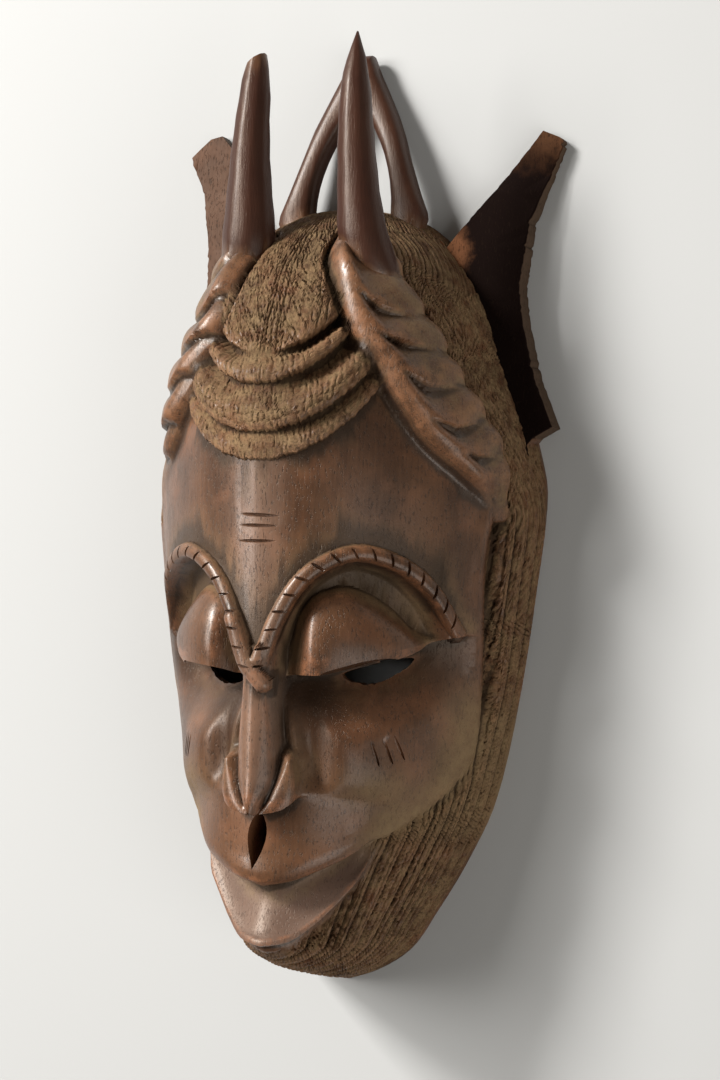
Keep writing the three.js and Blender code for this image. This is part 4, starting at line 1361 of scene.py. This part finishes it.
place = paint.scaled(paint.node("ShaderNodeTexCoord", None, "Object"), 1000.0)
slow = noise(stretched(place, 1.0, 0.7, 1.0), 0.035, 3.0)
streak = noise(stretched(place, 1.0, 0.07, 1.0), 0.8, 4.0, 0.6)
pores = ramp(noise(stretched(place, 1.0, 0.26, 1.0), 1.25, 2.0, 0.6), 0.56, 0.68)
mottle = noise(place, 0.16, 4.0, 0.6)
speck = noise(place, 1.7, 2.0, 0.7)
strokes_fine = noise(stretched(mark("comb", "Vector"), 0.5, 1.0, 0.0), 1.1, 2.0, 0.6)
edge_small, edge_wide, hair_here, pit_here, dust_here, shade_here, lip_here = map(
    mark, ("edge_small", "edge_wide", "hair", "pit", "dust", "shade", "lip"))
lock_here, horn_here, plate_here, plate_side, inside = map(
    mark, ("lock", "horn", "plate", "plate_side", "inside"))

# The flat front of each plate, the painted shade that darkens the front of the plate on the +x
# side, and where that shade is lighter: at the broken end, and rubbed orange at the foot
across_place, up_place, out_place = paint.split(place)
plate_level = PLATE_THICKNESS[0][1]
for (low, thick), (high, thinner) in zip(PLATE_THICKNESS, PLATE_THICKNESS[1:]):
    share = paint.node("ShaderNodeMapRange", {
        "Value": up_place, "From Min": low - MIDDLE_OF_BLOCK[1],
        "From Max": high - MIDDLE_OF_BLOCK[1]})
    plate_level = share * (thinner - thick) + plate_level
on_front = (fade(abs(out_place - plate_level), 0.25, 0.5) * ramp(up_place, 28.0, 30.0)
            * ramp(abs(across_place), 36.0, 38.0))
on_plate = most(on_front, ramp(plate_here, 0.6, 0.95))
off_plate = 1.0 - on_plate
# Painted shade: the front of the plate on the +x side, away from the key lamp, is painted near
# black
shaded_plate_front = on_plate * ramp(across_place, -5.0, 5.0)
worn_end = ramp(up_place + mottle * 20.0, 172.0, 192.0)
from_foot = paint.vector("DISTANCE", stretched(place, 1.0, 1.0, 0.0), PLATE_FOOT, "Value")
worn_foot = fade(from_foot + mottle * 14.0, 14.0, 24.0)
plate_edge = ramp(plate_side, 0.06, 0.16) * (1.0 - on_front)
painted_plate_shade = shaded_plate_front * (1.0 - 0.6 * most(worn_end, worn_foot)) * (1.0 - plate_edge)

# A lighter band down the forehead and nose, painted sheen where hands also rub; where dust has
# stayed; and painted shade on what lies too deep for light
handled_and_sheen = (fade(abs(across_place), 3.0, 17.0) * ramp(up_place, -138.0, -120.0)
           * fade(up_place, 58.0, 68.0) * (1.0 - hair_here) * (0.35 + 0.65 * mottle))
deep = ramp(edge_wide * -1.0, 1.0, 4.0)
grime = ramp(mottle + speck * 0.35, 0.42, 0.9)
ridge_top = ramp(edge_small, 0.05, 0.45) * hair_here
dusty = most(hair_here * 0.82, most(deep * 0.45, lock_here * 0.62)) * grime
dusty = most(dusty, dust_here * (0.55 + 0.45 * grime))
dusty = dusty * (1.0 - horn_here * 0.8) * (1.0 - shade_here) * off_plate
rubbed = ramp(edge_small, 0.12, 0.55) * ramp(mottle * 0.6 + speck * 0.4, 0.38, 0.62)
# Painted shade in sunken places and gouge pits, with some real dirt there too, and painted shade in
# the fine cut strokes of the hair
sunk = most(ramp(edge_small * -1.0, 0.1, 0.8), ramp(pit_here, 0.3, 1.2))
stroke_shade = ramp(strokes_fine, 0.48, 0.66) * hair_here
pore_share = pores * 0.58 * (1.0 - dusty) * (1.0 - horn_here * 0.8) * (1.0 - lip_here * 0.5)

tone = ramp(slow * 0.7 + streak * 0.3, 0.32, 0.68)
red_patch = ramp(noise(place, 0.045, 3.0), 0.48, 0.7)
colour = laid_over(
    paint.mix(tone, DARK_WOOD, WARM_WOOD),
    (red_patch * 0.22 + ramp(speck, 0.52, 0.7) * 0.1, RUBBED_WOOD),
    (horn_here * 0.88, HORN_WOOD),
    ((on_plate - shaded_plate_front) * 0.5, HORN_WOOD),
    # painted shade on the front of the plate on the +x side
    (painted_plate_shade, PLATE_SHADE_TONE),
    (shaded_plate_front * worn_foot * 0.35, RUBBED_WOOD),
    (on_plate * plate_edge * 0.8, PLATE_EDGE),
    (lip_here * 0.7, LIP_WOOD),
    # painted sheen down the forehead and nose, partly rubbing by hands
    (handled_and_sheen * 0.4, HANDLED_SHEEN_TONE),
    (dusty, DUST),
    (rubbed * (0.5 - horn_here * 0.4 - dusty * 0.25) * off_plate, RUBBED_WOOD),
    # painted shade in sunken places, pits and fine strokes, with some dirt
    (most(sunk * 0.75, stroke_shade * 0.4) * off_plate, PORE_AND_SHADE_TONE),
    # the real pores, and the painted shade under the lids
    (most(pore_share, shade_here * 0.8), PORE_AND_SHADE_TONE))

roughness = (0.4 + dusty * 0.35 + hair_here * 0.2 + inside * 0.2 + (mottle - 0.5) * 0.2
             + plate_here * 0.25)
polish = ((1.0 - dusty) * (1.0 - hair_here + ridge_top * 0.7) * off_plate * (1.0 - shade_here)
          * (1.0 - lip_here * 0.85) * (1.0 - inside) * (1.0 - horn_here * 0.5)
          * (0.4 + 0.6 * ramp(speck, 0.35, 0.6)) * (0.6 + 0.4 * tone)
          * (1.0 - 0.8 * most(dust_here, deep)))
relief_fine = (pores * (horn_here * 0.4 - 0.5) + streak * (0.3 + horn_here * 0.5)
               + speck * (0.2 + dusty * 0.6) - strokes_fine * hair_here * 1.5)
bump = paint.node("ShaderNodeBump",
                  {"Strength": 0.55, "Distance": 0.0005, "Height": relief_fine})
polished = paint.node("ShaderNodeBsdfPrincipled", {
    "Base Color": colour, "Roughness": roughness, "Specular IOR Level": 0.32,
    "Specular Tint": (1.0, 0.8, 0.62, 1), "Coat Weight": polish * 0.52, "Coat Roughness": 0.26,
    "Normal": bump})
dull = paint.node("ShaderNodeBsdfPrincipled", {
    "Base Color": colour, "Roughness": 0.9, "Specular IOR Level": 0.05, "Normal": bump})
dull_share = most(shaded_plate_front, (hair_here - ridge_top) * 0.6 + horn_here * 0.3)
finish = paint.node("ShaderNodeMixShader", {0: dull_share, 1: polished, 2: dull})
end = wood.node_tree.nodes.new("ShaderNodeOutputMaterial")
wood.node_tree.links.new(finish.socket, end.inputs["Surface"])

mask.data.materials.clear()
mask.data.materials.append(wood)
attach(mask, "root")
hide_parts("mask")

# %% [markdown]
# ## Floor, light and camera
#
# The mask lies on a plain pale floor. Seen from in front, the soft key lamp stands to the upper
# left and draws the long highlights down the nose and the horns. A wider lamp beside it lights the
# front, a weak one from the lower right opens the shadows, and the pale surroundings do the rest.
# The camera keeps the angle from which the object is known: from in front, a little from the
# right.

# %% Floor and light
FLOOR_TONE = (0.395, 0.39, 0.375, 1)
SURROUNDINGS_TONE = (1.0, 0.96, 0.9, 1)

floor_mesh = bpy.data.meshes.new("floor")
floor_mesh.from_pydata([(-6, -6, 0), (6, -6, 0), (6, 6, 0), (-6, 6, 0)], [], [(0, 1, 2, 3)])
pale = bpy.data.materials.new("pale_floor")
pale.use_nodes = True
floor_mesh.materials.append(pale)
floor = in_scene("floor", floor_mesh)


def lamp(name, place, size, power):
    """A square lamp that faces the middle of the mask."""
    data = bpy.data.lights.new(name, "AREA")
    data.size, data.energy = size, power
    made = in_scene(name, data)
    made.location = place
    made.rotation_euler = Vector(place).to_track_quat("Z", "Y").to_euler()


lamp("key", (-1.6, 1.36, 1.68), 0.6, 120)
lamp("front", (-1.5, 0.4, 1.75), 1.0, 45)
lamp("fill", (1.7, -1.0, 1.2), 1.6, 27)
world = bpy.data.worlds.new("surroundings")
world.use_nodes = True
for surface, settings in (
        (pale.node_tree.nodes["Principled BSDF"], {"Base Color": FLOOR_TONE, "Roughness": 0.9}),
        (world.node_tree.nodes["Background"], {"Color": SURROUNDINGS_TONE, "Strength": 0.19})):
    for name, value in settings.items():
        surface.inputs[name].default_value = value
bpy.context.scene.world = world
bpy.context.scene.view_settings.view_transform = "Standard"

# %% Camera
CAMERA_YAW = math.radians(23.6)
CAMERA_PITCH = math.radians(-1.3)
CAMERA_ROLL = math.radians(1.3)
CAMERA_TARGET = np.array([0, 225, 50])
CAMERA_DISTANCE = 1045
CAMERA_SHIFT = (20.4, -10.0)
FOCAL_LENGTH = 36 * 2200 / 1080

back = np.array([math.sin(CAMERA_YAW) * math.cos(CAMERA_PITCH), math.sin(CAMERA_PITCH),
                 math.cos(CAMERA_YAW) * math.cos(CAMERA_PITCH)])
right = np.cross([0, 1, 0], back)
right /= np.linalg.norm(right)
up = np.cross(back, right)
c, s = math.cos(CAMERA_ROLL), math.sin(CAMERA_ROLL)
right, up = c * right + s * up, c * up - s * right
eye_place = (CAMERA_TARGET + CAMERA_DISTANCE * back
             + CAMERA_SHIFT[0] * right + CAMERA_SHIFT[1] * up)
camera_data = bpy.data.cameras.new("camera")
camera_data.lens = FOCAL_LENGTH
camera = in_scene("camera", camera_data)
turned = Matrix([[*row, 0] for row in np.column_stack([right, up, back])] + [[0, 0, 0, 1]])
turned.translation = Vector((eye_place - MIDDLE_OF_BLOCK) * METRES)
camera.matrix_world = turned
bpy.context.scene.camera = camera
